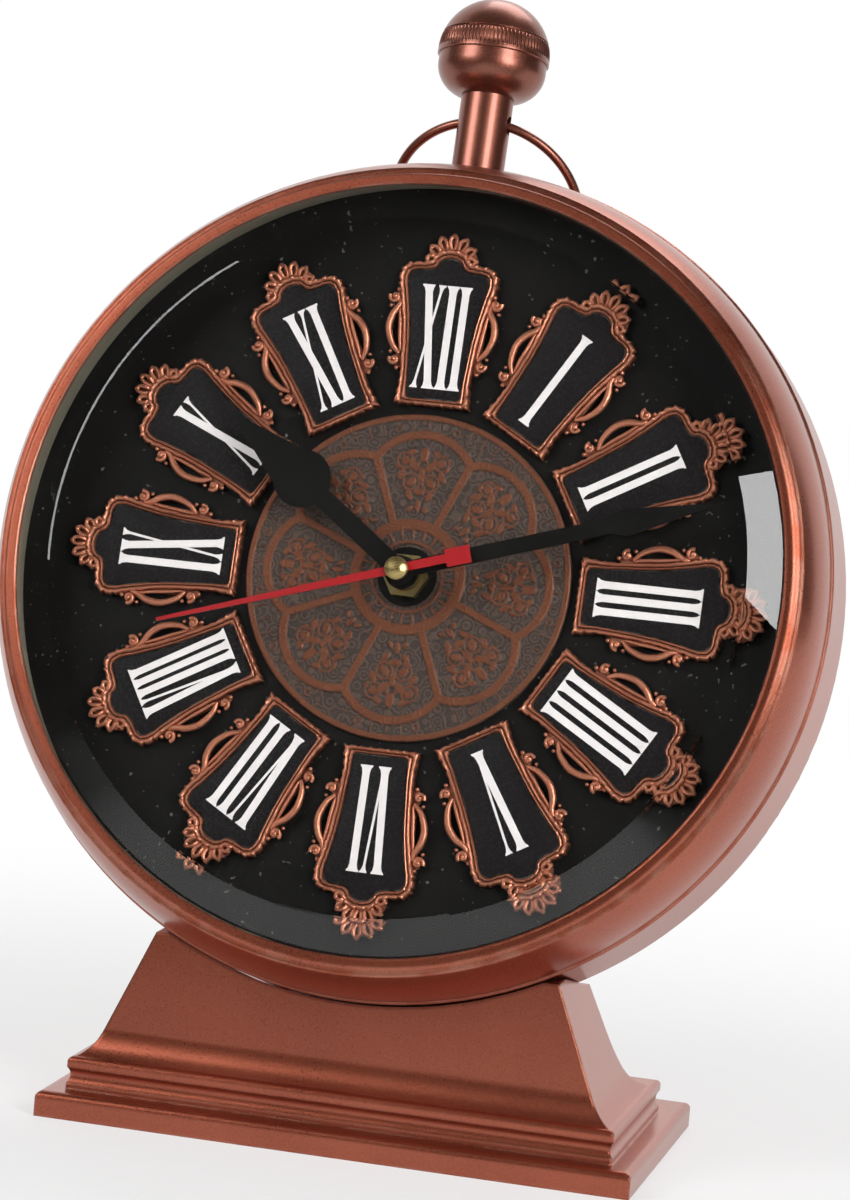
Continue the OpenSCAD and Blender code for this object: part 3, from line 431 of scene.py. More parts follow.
def turned_metal(name, base, roughness):
    """Bare metal with fine lines round its axis and light wear."""
    s = new_shader(name)
    lines = s.node(
        "TexWave",
        {"wave_type": "RINGS", "rings_direction": "SPHERICAL"},
        {"Vector": s.place(), "Scale": 900.0, "Distortion": 1.5},
        "Fac",
    )
    cloud = s.noise(0.003, 3)
    tone = cloud.mix([c * 0.72 for c in base], base)
    return s.surface(
        s.principled(
            Base_Color=tone,
            Metallic=1.0,
            Roughness=roughness + lines * 0.06 + cloud * 0.08,
            Normal=s.bump(lines, 0.00001, 0.4),
        )
    )


def plated_steel(finish):
    """Zinc-plated steel, one material for all its pieces."""
    name = "Zinc-plated steel"
    return bpy.data.materials.get(name) or turned_metal(name, finish.steel, roughness=0.34)


def moulded_plastic(name, base, roughness):
    """Moulded plastic with a fine spark-eroded grain."""
    s = new_shader(name)
    grain = s.noise(0.0004, 2)
    cloud = s.noise(0.015, 2)
    tone = cloud.mix([c * 0.85 for c in base], base)
    return s.surface(
        s.principled(
            Base_Color=tone,
            Roughness=roughness + grain * 0.12,
            Normal=s.bump(grain, 0.00004, 0.6),
        )
    )


def battery_jacket(finish):
    """Printed sleeve: dark body with a plain metal band at the positive end."""
    s = new_shader("Battery jacket")
    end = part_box("battery")[1][0]
    band = s.along("X").ramp(end * 0.52, end * 0.55)
    grain = s.noise(0.002, 2)
    tone = band.mix(finish.jacket, finish.brass)
    return s.surface(
        s.principled(Base_Color=tone, Metallic=band * 0.8, Roughness=0.28 + grain * 0.08)
    )


def clear_glass():
    """Clear glass that lets lamp light through to the dial, with a trace of dust."""
    s = new_shader("Clear glass")
    dust = s.noise(0.004, 4).ramp(0.62, 0.95)
    glass = s.principled(
        Base_Color=(0.97, 0.985, 0.98, 1),
        Roughness=dust * 0.02,
        IOR=1.5,
        Transmission_Weight=1.0,
    )
    through = s.node("BsdfTransparent", {}, {"Color": (0.95, 0.96, 0.955, 1)})
    shadow = s.node("LightPath", {}, {}, "Is Shadow Ray")
    return s.surface(s.node("MixShader", {}, {"Fac": shadow, 1: glass, 2: through}))


# Mesh tools


def piece(name, bm, place, body, material, replaced=(), sharp=35):
    """Makes a piece from a bmesh in millimetres and sets it on a body."""
    bmesh.ops.scale(bm, vec=(MM, MM, MM), verts=bm.verts)
    bmesh.ops.recalc_face_normals(bm, faces=bm.faces)
    mesh = bpy.data.meshes.new(name)
    bm.to_mesh(mesh)
    bm.free()
    mesh.shade_smooth()
    mesh.set_sharp_from_angle(angle=math.radians(sharp))
    mesh.materials.append(material)
    return set_piece(name, mesh, place, body, replaced)


def set_piece(name, mesh, place, body, replaced=()):
    """Places a mesh as a piece of the clock that stands for CAD nodes."""
    obj = bpy.data.objects.new(name, mesh)
    bpy.context.scene.collection.objects.link(obj)
    obj.matrix_world = place
    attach(obj, body)
    if replaced:
        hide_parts(*replaced)
    return obj


def paint_nodes(material, *nodes):
    """Gives CAD nodes their finish."""
    for node in nodes:
        mesh = NODES[node].data
        mesh.materials.clear()
        mesh.materials.append(material)


def skin(bm, rings, close_ends=False):
    """Faces between closed rows of vertices."""
    sides = len(rings[0])
    rows = list(zip(rings, rings[1:]))
    if close_ends:
        rows.append((rings[-1], rings[0]))
    for lower, upper in rows:
        for i in range(sides):
            j = (i + 1) % sides
            bm.faces.new((lower[i], lower[j], upper[j], upper[i]))


def lathe(profile, segments, wobble=None):
    """Closed solid of revolution about z from (r, z) points; a point at r = 0 becomes a pole."""
    bm = bmesh.new()
    rings = []
    for index, (r, z) in enumerate(profile):
        if r == 0:
            rings.append([bm.verts.new((0, 0, z))])
            continue
        ring = []
        for k in range(segments):
            a = 2 * math.pi * k / segments
            reach = r + (wobble(index, a) if wobble else 0)
            ring.append(bm.verts.new((reach * math.cos(a), reach * math.sin(a), z)))
        rings.append(ring)
    pairs = list(zip(rings, rings[1:]))
    if len(rings[0]) > 1:
        pairs.append((rings[-1], rings[0]))
    for a, b in pairs:
        for k in range(segments):
            j = (k + 1) % segments
            if len(a) == 1:
                bm.faces.new((a[0], b[j], b[k]))
            elif len(b) == 1:
                bm.faces.new((a[k], a[j], b[0]))
            else:
                bm.faces.new((a[k], a[j], b[j], b[k]))
    return bm


def spline(points, steps):
    """Smooth line through points of any dimension, with a number of steps between two points."""
    points = [np.array(p, dtype=float) for p in points]
    padded = [2 * points[0] - points[1], *points, 2 * points[-1] - points[-2]]
    line = []
    for a, b, c, d in zip(padded, padded[1:], padded[2:], padded[3:]):
        for k in range(steps):
            t = k / steps
            line.append(
                0.5
                * (2 * b + (c - a) * t + (2 * a - 5 * b + 4 * c - d) * t**2
                   + (3 * b - a - 3 * c + d) * t**3)
            )
    line.append(points[-1])
    return line


def strand(bm, path, radius, closed=False, sides=8):
    """Cast round strand along a path of (x, y, z), of one radius or a radius for each point."""
    points = len(path)
    rings = []
    for i, point in enumerate(path):
        before = path[i - 1] if closed or i else path[0]
        after = path[(i + 1) % points] if closed or i + 1 < points else path[-1]
        along = Vector(np.array(after) - np.array(before)).normalized()
        side = Vector((along.y, -along.x, 0)).normalized()
        up = side.cross(along)
        r = radius[i] if isinstance(radius, (list, tuple)) else radius
        ring = []
        for k in range(sides):
            a = 2 * math.pi * k / sides
            turn = side * math.cos(a) + up * math.sin(a)
            ring.append(bm.verts.new(Vector(point) + turn * r))
        rings.append(ring)
    skin(bm, rings, close_ends=closed)
    if not closed:
        bm.faces.new(rings[0][::-1])
        bm.faces.new(rings[-1])


def bead(bm, x, y, z, radius):
    """Small cast bead."""
    place = Matrix.Translation((x, y, z))
    bmesh.ops.create_uvsphere(bm, u_segments=14, v_segments=8, radius=radius, matrix=place)


def prism(bm, outline, low, high):
    """Straight-sided block over an outline."""
    rings = [[bm.verts.new((x, y, z)) for x, y in outline] for z in (low, high)]
    skin(bm, rings)
    bm.faces.new(rings[0][::-1])
    bm.faces.new(rings[1])


def around_dial(hour):
    """Place of the numeral frame at an hour."""
    return DIAL @ Matrix.Rotation(-math.radians(30 * hour), 4, "Z")


def at_every_hour(stem, node, bm, material, sharp):
    """The same piece at each hour, on one shared mesh."""
    mesh = None
    for hour in HOURS:
        name, place = f"{stem}_{hour:02d}", around_dial(hour)
        replaced = [f"{node}_{hour:02d}"]
        if mesh:
            set_piece(name, mesh, place, "clock", replaced)
        else:
            mesh = piece(name, bm, place, "clock", material, replaced, sharp).data


# Numeral frames

# Half outline of a frame from the middle of its foot to its top, from the foot, in mm:
# the plate's edge x and y, and the border's outer edge x and y
FRAME_HALF = (
    (0.0, 1.8, 0.0, 0.0),
    (3.2, 1.8, 4.6, 0.0),
    (5.7, 1.8, 8.4, 0.0),
    (6.8, 2.15, 9.85, 0.05),
    (7.2, 3.2, 9.85, 1.3),
    (7.45, 8.0, 9.35, 8.0),
    (8.5, 20.0, 10.4, 20.0),
    (9.8, 28.0, 12.0, 28.0),
    (10.6, 31.8, 13.0, 31.8),
    (10.3, 34.2, 12.8, 34.9),
    (8.8, 35.2, 11.0, 36.9),
    (6.4, 35.4, 8.0, 37.5),
    (4.4, 35.8, 5.9, 37.9),
    (3.5, 36.5, 4.9, 38.7),
    (2.9, 37.6, 4.1, 40.0),
    (1.6, 38.5, 2.2, 41.0),
    (0.0, 38.8, 0.0, 41.3),
)
# Section of the border: share of the way from plate to outer edge, share of the height
BORDER_SECTION = (
    (-0.04, 0.30), (-0.02, 0.60), (0.06, 0.78), (0.15, 0.86), (0.25, 0.83), (0.33, 0.74),
    (0.40, 0.80), (0.50, 0.93), (0.62, 1.0), (0.74, 0.98), (0.86, 0.86), (0.96, 0.60),
    (1.0, 0.28), (1.0, 0.0),
)
# Shell over the frame: its centre from the foot, the reach of its middle rib, the inner end and
# half width of a rib, the radius of its strand and of the bead at its tip, the angle of the fan
# in degrees, and the corner of the footing under it
SHELL_CENTRE = 36.8
SHELL_REACH = 8.6
SHELL_ROOT = 3.9
SHELL_RIB = 1.12
SHELL_STRAND = 0.50
SHELL_BEAD = 0.72
SHELL_SPREAD = 152
SHELL_CORNER = (4.8, 37.6)
# Scroll on the right side, from the foot: x and y of its outer and inner strands with their
# height as a share of the border's, its curls and beads with their sizes, and its footing
SCROLL_OUTER = (
    (10.2, 13.0, 0.55), (12.3, 15.2, 0.66), (13.75, 19.2, 0.74), (13.3, 22.8, 0.70),
    (11.9, 25.4, 0.66), (11.6, 27.2, 0.62),
)
SCROLL_INNER = ((10.0, 13.6, 0.62), (10.55, 17.0, 0.70), (11.0, 21.0, 0.70), (11.7, 25.4, 0.66))
SCROLL_STRANDS = ((SCROLL_OUTER, 5, 0.95), (SCROLL_INNER, 4, 0.50))
SCROLL_CURLS = ((13.25, 27.6, 1.2), (11.35, 11.4, 1.1))
SCROLL_BEADS = ((12.55, 29.6, 0.62), (14.1, 25.3, 0.52), (10.45, 9.3, 0.60), (12.6, 13.4, 0.50))
SCROLL_FOOTING = (
    (9.0, 10.0), (10.6, 9.2), (11.9, 11.0), (11.0, 13.6), (11.4, 24.6), (13.2, 26.2), (13.6, 28.6),
    (12.0, 29.6), (10.4, 26.0),
)
# Plate: the place its edge is drawn in toward, and its edge as inset and share of the height
PLATE_MIDDLE = np.array((0.0, 19.5))
PLATE_EDGE = ((0.10, 0.0), (0.10, 0.72), (0.18, 0.90), (0.34, 0.98), (0.55, 1.0))


def frame_outline(steps):
    """Closed outline as rows of plate x, y and outer x, y."""
    half = spline(FRAME_HALF, steps)
    other = [row * np.array((-1, 1, -1, 1)) for row in half[-2:0:-1]]
    return half + other


def cast_border(bm, foot, height):
    """Ridged border round the plate, a little uneven as a hand-finished casting is."""
    outline = frame_outline(8)
    steps = [np.linalg.norm(b[2:] - a[2:]) for a, b in zip(outline, outline[1:])]
    travel = [0, *np.cumsum(steps)]
    rings = []
    for share, level in BORDER_SECTION:
        ring = []
        for row, s in zip(outline, travel):
            ripple = 0.6 * math.sin(2.7 * s) + 0.4 * math.sin(4.6 * s + 1)
            x, y = row[:2] + (row[2:] - row[:2]) * (share + 0.09 * ripple * max(share, 0))
            ring.append(bm.verts.new((x, foot + y, level * height * (1 + 0.12 * ripple * share))))
        rings.append(ring)
    skin(bm, rings)


def cast_shell(bm, foot, height, ribs):
    """Fan of looped ribs with a bead at each tip, over the top of the frame."""
    for i in range(ribs):
        a = math.radians((i / (ribs - 1) - 0.5) * SHELL_SPREAD)
        reach = SHELL_REACH * (0.80 + 0.20 * math.cos(a))
        outward = np.array((math.sin(a), math.cos(a)))
        across = np.array((math.cos(a), -math.sin(a)))
        tip = reach - 0.9
        loop = []
        for k in range(20):
            t = 2 * math.pi * k / 20
            along = (SHELL_ROOT + tip) / 2 - (tip - SHELL_ROOT) / 2 * math.cos(t)
            swell = 0.55 + 0.45 * (along - SHELL_ROOT) / (tip - SHELL_ROOT)
            x, y = outward * along + across * (SHELL_RIB * swell * math.sin(t))
            rise = math.pi * (along - SHELL_ROOT) / (tip - SHELL_ROOT + 1.5)
            lift = 0.50 + 0.32 * math.sin(rise)
            loop.append((x, foot + SHELL_CENTRE + y, height * lift))
        strand(bm, loop, SHELL_STRAND, closed=True, sides=7)
        x, y = outward * (reach - 0.75)
        bead(bm, x, foot + SHELL_CENTRE + y, height * 0.62, SHELL_BEAD)
    x, y = SHELL_CORNER
    r = SHELL_REACH - 1.6
    fan = [(-x, foot + y)]
    for a in (math.radians(degrees) for degrees in range(-72, 73, 12)):
        fan.append((r * math.sin(a), foot + SHELL_CENTRE + r * math.cos(a)))
    fan.append((x, foot + y))
    prism(bm, fan[::-1], 0, height * 0.28)


def cast_scroll(bm, foot, height, side):
    """Open scroll along one side of the frame, with curls and beads at its ends."""
    for points, steps, r in SCROLL_STRANDS:
        path = [(side * x, foot + y, z * height) for x, y, z in spline(points, steps)]
        swell = [math.sin(math.pi * (k + 1) / (len(path) + 1)) for k in range(len(path))]
        strand(bm, path, [r * (0.45 + 0.55 * s) for s in swell])
    for x, y, size in SCROLL_CURLS:
        curl = []
        for t in np.linspace(0, 1, 17):
            r = (0.25 + 0.95 * t) * size
            across, up = x + r * math.cos(6.6 * t), y + r * math.sin(6.6 * t)
            curl.append((side * across, foot + up, height * (0.72 - 0.1 * t)))
        strand(bm, curl, 0.46 * size)
        bead(bm, side * x, foot + y, height * 0.72, 0.55 * size)
    for x, y, r in SCROLL_BEADS:
        bead(bm, side * x, foot + y, height * 0.55, r)
    outline = [(side * x, foot + y) for x, y in SCROLL_FOOTING]
    prism(bm, outline if side > 0 else outline[::-1], 0, height * 0.30)


def numeral_frame_mesh(ornament):
    """One cast frame, shared by the twelve hours."""
    bm = bmesh.new()
    foot = ornament.frame_foot / MM
    height = ornament.border_height / MM
    cast_border(bm, foot, height)
    cast_shell(bm, foot, height, ornament.shell_ribs)
    for side in (-1, 1):
        cast_scroll(bm, foot, height, side)
    return bm


def plate_mesh(ornament):
    """Enamel plate with a rounded edge inside the border."""
    bm = bmesh.new()
    foot = ornament.frame_foot / MM
    top = ornament.plate_height / MM
    rings = []
    for inset, level in PLATE_EDGE:
        ring = []
        for row in frame_outline(3):
            point = row[:2]
            inward = (PLATE_MIDDLE - point) / np.linalg.norm(PLATE_MIDDLE - point)
            x, y = point + inward * inset
            ring.append(bm.verts.new((x, foot + y, level * top)))
        rings.append(ring)
    skin(bm, rings)
    bm.faces.new(rings[-1])
    bm.faces.new(rings[0][::-1])
    return bm


# Numerals

# End of a stroke with its bracketed serif: width past the stroke, distance from the end, and how
# much of that distance the stroke leans over
SERIF = ((0.72, 0, 0), (0.60, 0.42, 0), (0.26, 0.84, 1.0), (0, 2.0, 2.0))
PRINT_DEPTH = 0.06
# Strokes of each letter: x at the foot, x at the head, and whether it is thick; and its width
LETTERS = {
    "I": (((1.68, 1.68, True),), 3.36),
    "V": (((3.35, 1.70, True), (3.55, 5.35, False)), 6.4),
    "X": (((4.95, 1.70, True), (1.20, 5.30, False)), 6.5),
}
# Widest that a numeral may be, in mm
NUMERAL_WIDTH = 13.4


def stroke(bm, foot, x_low, x_high, width, height, level):
    """One stroke of a numeral from foot to head, with serifs at both ends."""
    lean = (x_high - x_low) / height
    rows = [(width / 2 + past, lean * leaning, end) for past, end, leaning in SERIF]
    outline = [(x_low + half + shift, end) for half, shift, end in rows]
    outline += [(x_high + half - shift, height - end) for half, shift, end in rows[::-1]]
    outline += [(x_high - half - shift, height - end) for half, shift, end in rows]
    outline += [(x_low - half + shift, end) for half, shift, end in rows[::-1]]
    prism(bm, [(x, foot + y) for x, y in outline], level - PRINT_DEPTH, level)


def numeral_mesh(text, ornament):
    """Printed numeral, condensed where it is long."""
    bm = bmesh.new()
    foot = (ornament.frame_foot + ornament.numeral_foot) / MM
    height = ornament.numeral_height / MM
    level = ornament.plate_height / MM + 0.03
    stem, hairline = ornament.stem / MM, ornament.hairline / MM
    total = sum(LETTERS[letter][1] for letter in text)
    tight = min(1.0, NUMERAL_WIDTH / total)
    x = -total * tight / 2
    for letter in text:
        strokes, width = LETTERS[letter]
        for low, high, thick in strokes:
            level += 0.004
            size = stem * (0.5 + 0.5 * tight) if thick else hairline
            stroke(bm, foot, x + low * tight, x + high * tight, size, height, level)
        x += width * tight
    return bm


# Medallion

# Raised spots of one panel, by petal: across, outwards, half width, half length, turn in degrees
PANEL_LEAVES = (
    (0.0, 31.6, 1.15, 1.9, 0), (0.0, 26.4, 0.75, 1.7, 0), (2.3, 28.6, 0.85, 1.9, -38),
    (4.7, 29.6, 1.15, 1.15, 0), (5.3, 26.0, 0.8, 1.5, 28), (2.5, 24.3, 1.05, 1.5, 42),
    (0.0, 21.9, 1.5, 0.8, 0), (2.6, 20.8, 0.8, 1.4, -30), (0.0, 18.3, 0.7, 1.6, 0),
    (1.9, 17.4, 0.6, 1.0, 35), (3.6, 22.4, 0.55, 0.55, 0), (3.3, 32.0, 0.7, 1.2, 60),
    (6.4, 28.2, 0.55, 0.9, -20),
)
# Raised rings of one panel: across, outwards, radius, half width
PANEL_RINGS = ((4.7, 29.6, 2.0, 0.32), (0.0, 28.9, 1.3, 0.3), (2.5, 24.3, 2.1, 0.3))
# Shares of the medallion's radius: inner ring, hub ring, top of the panels' arches, border band
MEDALLION_EYE = 0.215
MEDALLION_HUB = 0.345
MEDALLION_ARCH = 0.845
MEDALLION_BAND = (0.875, 0.955)
# Steps of its mesh, round and outwards
MEDALLION_TURNS = 640
MEDALLION_STEPS = 118


def near(distance, half, soft=0.16):
    """1 where a distance is inside half a width, falling to 0 over a soft edge."""
    t = np.clip((half + soft - np.abs(distance)) / (2 * soft), 0, 1)
    return t * t * (3 - 2 * t)


def medallion_height(r, a, ornament, radius):
    """Height from 0 to 1 of the stamped pattern at polar places."""
    step = 2 * math.pi / ornament.petals
    turn = (a + step / 2) % step - step / 2
    across, outward = r * np.sin(turn), r * np.cos(turn)
    hub, arch_end = radius * MEDALLION_HUB, radius * MEDALLION_ARCH
    border = arch_end * math.sin(step / 2)
    arch_r = border * 1.06
    arch_y = arch_end - arch_r * 0.92
    wall = (step / 2 - np.abs(turn)) * r
    inside_arch = np.hypot(across, outward - arch_y) - arch_r
    cusp = arch_y * math.cos(step / 2) + math.sqrt(arch_r**2 - (arch_y * math.sin(step / 2)) ** 2)
    h = near(wall, 0.95) * (r > hub) * (r < cusp)
    h = np.maximum(h, near(inside_arch, 1.05) * (outward > arch_y - 1.5))
    h = np.maximum(h, near(r - hub + 1.0, 1.35))
    h = np.maximum(h, near(r - radius + 0.9, 0.75))
    h = np.maximum(h, 0.75 * near(r - radius * MEDALLION_EYE, 0.5))
    mirror = np.abs(across)
    clear = (wall > 1.5) & (inside_arch < -1.4)
    for x, y, wide, long, degrees in PANEL_LEAVES:
        c, s = math.cos(math.radians(degrees)), math.sin(math.radians(degrees))
        u, v = (mirror - x) * c + (outward - y) * s, (outward - y) * c - (mirror - x) * s
        size = min(wide, long)
        h = np.maximum(h, near(np.hypot(u / wide, v / long) * size, size) * clear)
    for x, y, size, width in PANEL_RINGS:
        h = np.maximum(h, 0.8 * near(np.hypot(mirror - x, outward - y) - size, width) * clear)
    band = (r > radius * MEDALLION_BAND[0]) & (r < radius * MEDALLION_BAND[1])
    half_step = (a % (step / 2)) - step / 4
    ring = np.hypot(half_step * r, r - radius * sum(MEDALLION_BAND) / 2)
    h = np.maximum(h, 0.8 * near(ring - 0.85, 0.25) * band)
    h = np.maximum(h, 0.7 * near(np.sin(a * 96), 0.25, 0.3) * band * (ring > 2.0))
    spokes = (r > radius * 0.23) & (r < hub - 2.4)
    return np.maximum(h, 0.8 * near(np.sin(a * 12), 0.35, 0.25) * spokes)


def medallion_mesh(ornament, radius, floor, bore):
    """Stamped disc as a polar grid, with a turned-down edge."""
    bm = bmesh.new()
    angles = np.linspace(0, 2 * math.pi, MEDALLION_TURNS, endpoint=False)
    relief = ornament.relief / MM
    rings = []

    def ring(r, heights):
        places = zip(np.cos(angles) * r, np.sin(angles) * r, heights)
        rings.append([bm.verts.new(place) for place in places])

    for r in np.linspace(bore, radius - 0.2, MEDALLION_STEPS):
        stamped = medallion_height(np.full(MEDALLION_TURNS, r), angles, ornament, radius)
        ring(r, floor + stamped * relief)
    for r, z in ((radius, floor * 0.7), (radius, 0), (bore, 0)):
        ring(r, np.full(MEDALLION_TURNS, z, float))
    skin(bm, rings, close_ends=True)
    return bm


# Operators


class ClockOperator:
    """Shared reading of the scene's settings."""

    bl_options = {"REGISTER", "UNDO"}

    @property
    def ornament(self):
        return bpy.context.scene.clock_ornament

    @property
    def finish(self):
        return bpy.context.scene.clock_finish


class CLOCK_OT_case(ClockOperator, bpy.types.Operator):
    """Paint the pedestal, the case and its rear cover"""

    bl_idname = "clock.case"
    bl_label = "Case and Pedestal"
    roughness = 0.23
    edge_radius = 1.1 * MM
    screws = ("saddle_screws", "saddle_nuts", "bezel_screws", "rear_cover_screws", "neck_nut")

    def execute(self, context):
        colours = self.finish.paint, self.finish.paint_dark, self.finish.rubbed_and_highlight
        paint = copper_paint("Copper paint", *colours, self.roughness, self.edge_radius)
        paint_nodes(paint, "pedestal", "case_body", "rear_cover", "bezel_ring")
        paint_nodes(plated_steel(self.finish), *self.screws)
        return {"FINISHED"}


class CLOCK_OT_crown(ClockOperator, bpy.types.Operator):
    """Paint the neck and the bow, and turn the ball crown with its knurled band"""

    bl_idname = "clock.crown"
    bl_label = "Crown"
    roughness = 0.29
    edge_radius = 0.2 * MM
    bore = 4.5
    bore_depth = 6.0
    edge = 0.2
    inset = 0.05
    band_foot = 1.3
    band_head = 5.4
    band_edge = 0.25
    groove = 0.6
    groove_depth = 0.5
    groove_slope = 0.12
    flute_depth = 0.26
    flute_steps = 6

    def cap_profile(self, radius, height):
        """Outline of the cap from its bore to its pole, and the rows of it that are knurled."""
        rim = height - radius

        def ball(z):
            return math.sqrt(radius**2 - max(z - rim, 0) ** 2)

        profile = [(0, self.bore_depth), (self.bore, self.bore_depth), (self.bore, 0)]
        profile += [(radius - self.edge, 0), (radius, self.edge), (radius, self.band_foot)]
        start = len(profile)
        for z in np.linspace(self.band_foot + self.band_edge, self.band_head - self.band_edge, 5):
            profile.append((ball(z), z))
        knurled = range(start, len(profile))
        top = self.band_head + self.groove
        lip = ball(self.band_head)
        profile += [(lip - self.inset, self.band_head)]
        profile += [(lip - self.groove_depth, self.band_head + self.groove_slope)]
        profile += [(ball(top) - self.groove_depth, top - self.groove_slope)]
        first = math.asin((top - rim) / radius)
        r = radius - self.inset
        for a in np.linspace(first, math.pi / 2, 20)[:-1]:
            profile.append((r * math.cos(a), rim + r * math.sin(a)))
        return profile + [(0, height - self.inset)], knurled

    def execute(self, context):
        # Painted shade: the neck, the crown and the bow get a darker copy of the case paint.
        colours = self.finish.shaded_crown_paint, self.finish.shaded_crown_paint_dark, self.finish.rubbed_and_highlight
        paint = copper_paint("Shaded crown paint", *colours, self.roughness, self.edge_radius)
        paint_nodes(paint, "neck", "bow_ring", "crown_cup")
        low, high = in_dial("crown_cap")
        profile, knurled = self.cap_profile(high[0], high[1] - low[1])
        flutes = self.ornament.knurls

        def flute(row, a):
            depth = self.flute_depth if row in knurled else 0
            return -depth * (0.5 - 0.5 * math.cos(flutes * a))

        bm = lathe(profile, flutes * self.flute_steps, flute)
        place = DIAL @ Matrix.Translation(Vector((0, low[1], (low[2] + high[2]) / 2)) * MM)
        place = place @ Matrix.Rotation(-math.pi / 2, 4, "X")
        piece("knurled_cap", bm, place, "clock", paint, ["crown_cap"], sharp=40)
        return {"FINISHED"}


class CLOCK_OT_crystal(ClockOperator, bpy.types.Operator):
    """Grind the bevelled glass"""

    bl_idname = "clock.crystal"
    bl_label = "Glass"
    bevel_width = 9.0
    rim_height = 1.8
    rim_width = 2.4
    edge_round = 0.3
    chip = 0.3

    def execute(self, context):
        low, high = in_dial("crystal")
        radius, back, front = high[0], low[2], high[2]
        seat = radius - self.rim_width
        edge = seat - self.bevel_width
        slope = (front - back - self.rim_height) / self.bevel_width
        profile = [
            (0, back), (radius - self.chip, back), (radius, back + self.chip),
            (radius, back + self.rim_height), (seat, back + self.rim_height),
            (edge + self.edge_round, front - slope * self.edge_round),
            (edge - self.edge_round, front), (0, front),
        ]
        bm = lathe(profile, 360)
        piece("bevelled_glass", bm, DIAL, "clock", clear_glass(), ["crystal"], sharp=8)
        return {"FINISHED"}


class CLOCK_OT_dial(ClockOperator, bpy.types.Operator):
    """Paint the dial plate and its wall, and stamp the medallion"""

    bl_idname = "clock.dial"
    bl_label = "Dial and Medallion"
    bush_gap = 0.1

    def execute(self, context):
        black = satin_black("Dial black", self.finish.dial, roughness=0.42, specks=0.5)
        paint_nodes(black, "dial_plate")
        wall = moulded_plastic("Spacer", self.finish.spacer, roughness=0.35)
        paint_nodes(wall, "spacer_ring")
        radius, _, top = in_dial("medallion")[1]
        relief = self.ornament.relief / MM
        floor = top - relief
        bore = in_dial("threaded_bush")[1][0] + self.bush_gap
        bm = medallion_mesh(self.ornament, radius, floor, bore)
        material = stamped_copper(self.finish, floor * MM, relief * MM)
        piece("stamped_medallion", bm, DIAL, "clock", material, ["medallion"], sharp=60)
        return {"FINISHED"}


class CLOCK_OT_numeral_frames(ClockOperator, bpy.types.Operator):
    """Cast the twelve numeral frames"""

    bl_idname = "clock.numeral_frames"
    bl_label = "Numeral Frames"

    def execute(self, context):
        bm, copper = numeral_frame_mesh(self.ornament), cast_copper(self.finish)
        at_every_hour("cast_frame", "numeral_frame", bm, copper, sharp=50)
        return {"FINISHED"}


class CLOCK_OT_numerals(ClockOperator, bpy.types.Operator):
    """Enamel the plates and print their numerals"""

    bl_idname = "clock.numerals"
    bl_label = "Plates and Numerals"

    def execute(self, context):
        bm = plate_mesh(self.ornament)
        enamel = gloss_enamel(self.finish, self.ornament.plate_height)
        at_every_hour("enamel_plate", "numeral_plate", bm, enamel, sharp=50)
        white = printed_white(self.finish)
        for hour, text in zip(HOURS, NUMERALS):
            bm = numeral_mesh(text, self.ornament)
            piece(f"numeral_{hour:02d}", bm, around_dial(hour), "clock", white)
        return {"FINISHED"}


class CLOCK_OT_hands(ClockOperator, bpy.types.Operator):
    """Lacquer the hands and turn the brass that carries them"""

    bl_idname = "clock.hands"
    bl_label = "Hands"

    def execute(self, context):
        black = satin_black("Hand black", self.finish.hand, roughness=0.4)
        paint_nodes(black, "hour_hand", "minute_hand", "mounting_washer")
        paint_nodes(gloss_red(self.finish), "second_hand")
        brass = turned_metal("Turned brass", self.finish.brass, roughness=0.22)
        paint_nodes(brass, "second_cap", "minute_arbor")
        tarnished = [c * 0.45 for c in self.finish.brass]
        dull = turned_metal("Dull brass", tarnished, roughness=0.38)
        paint_nodes(dull, "threaded_bush", "mounting_nut")
        paint_nodes(plated_steel(self.finish), "second_arbor")
        return {"FINISHED"}


class CLOCK_OT_movement(ClockOperator, bpy.types.Operator):
    """Mould the movement, its wheels and the battery"""

    bl_idname = "clock.movement"
    bl_label = "Movement"

    def execute(self, context):
        housing = moulded_plastic("Black plastic", self.finish.housing, roughness=0.42)
        paint_nodes(housing, "movement_housing", "movement_lid")
        acetal = moulded_plastic("White acetal", self.finish.acetal, roughness=0.4)
        paint_nodes(acetal, "hour_wheel", "setting_knob")
        paint_nodes(battery_jacket(self.finish), "battery")
        paint_nodes(plated_steel(self.finish), "battery_contacts")
        return {"FINISHED"}


# Camera of the photograph in the clock's frame: its place in metres, and its right, down and
# forward directions
CAMERA_PLACE = (0.23040, -1.00413, 0.24250)
CAMERA_RIGHT = (0.96957, 0.22896, 0.08663)
CAMERA_DOWN = (0.10757, -0.08057, -0.99093)
CAMERA_FORWARD = (-0.21991, 0.97010, -0.10275)


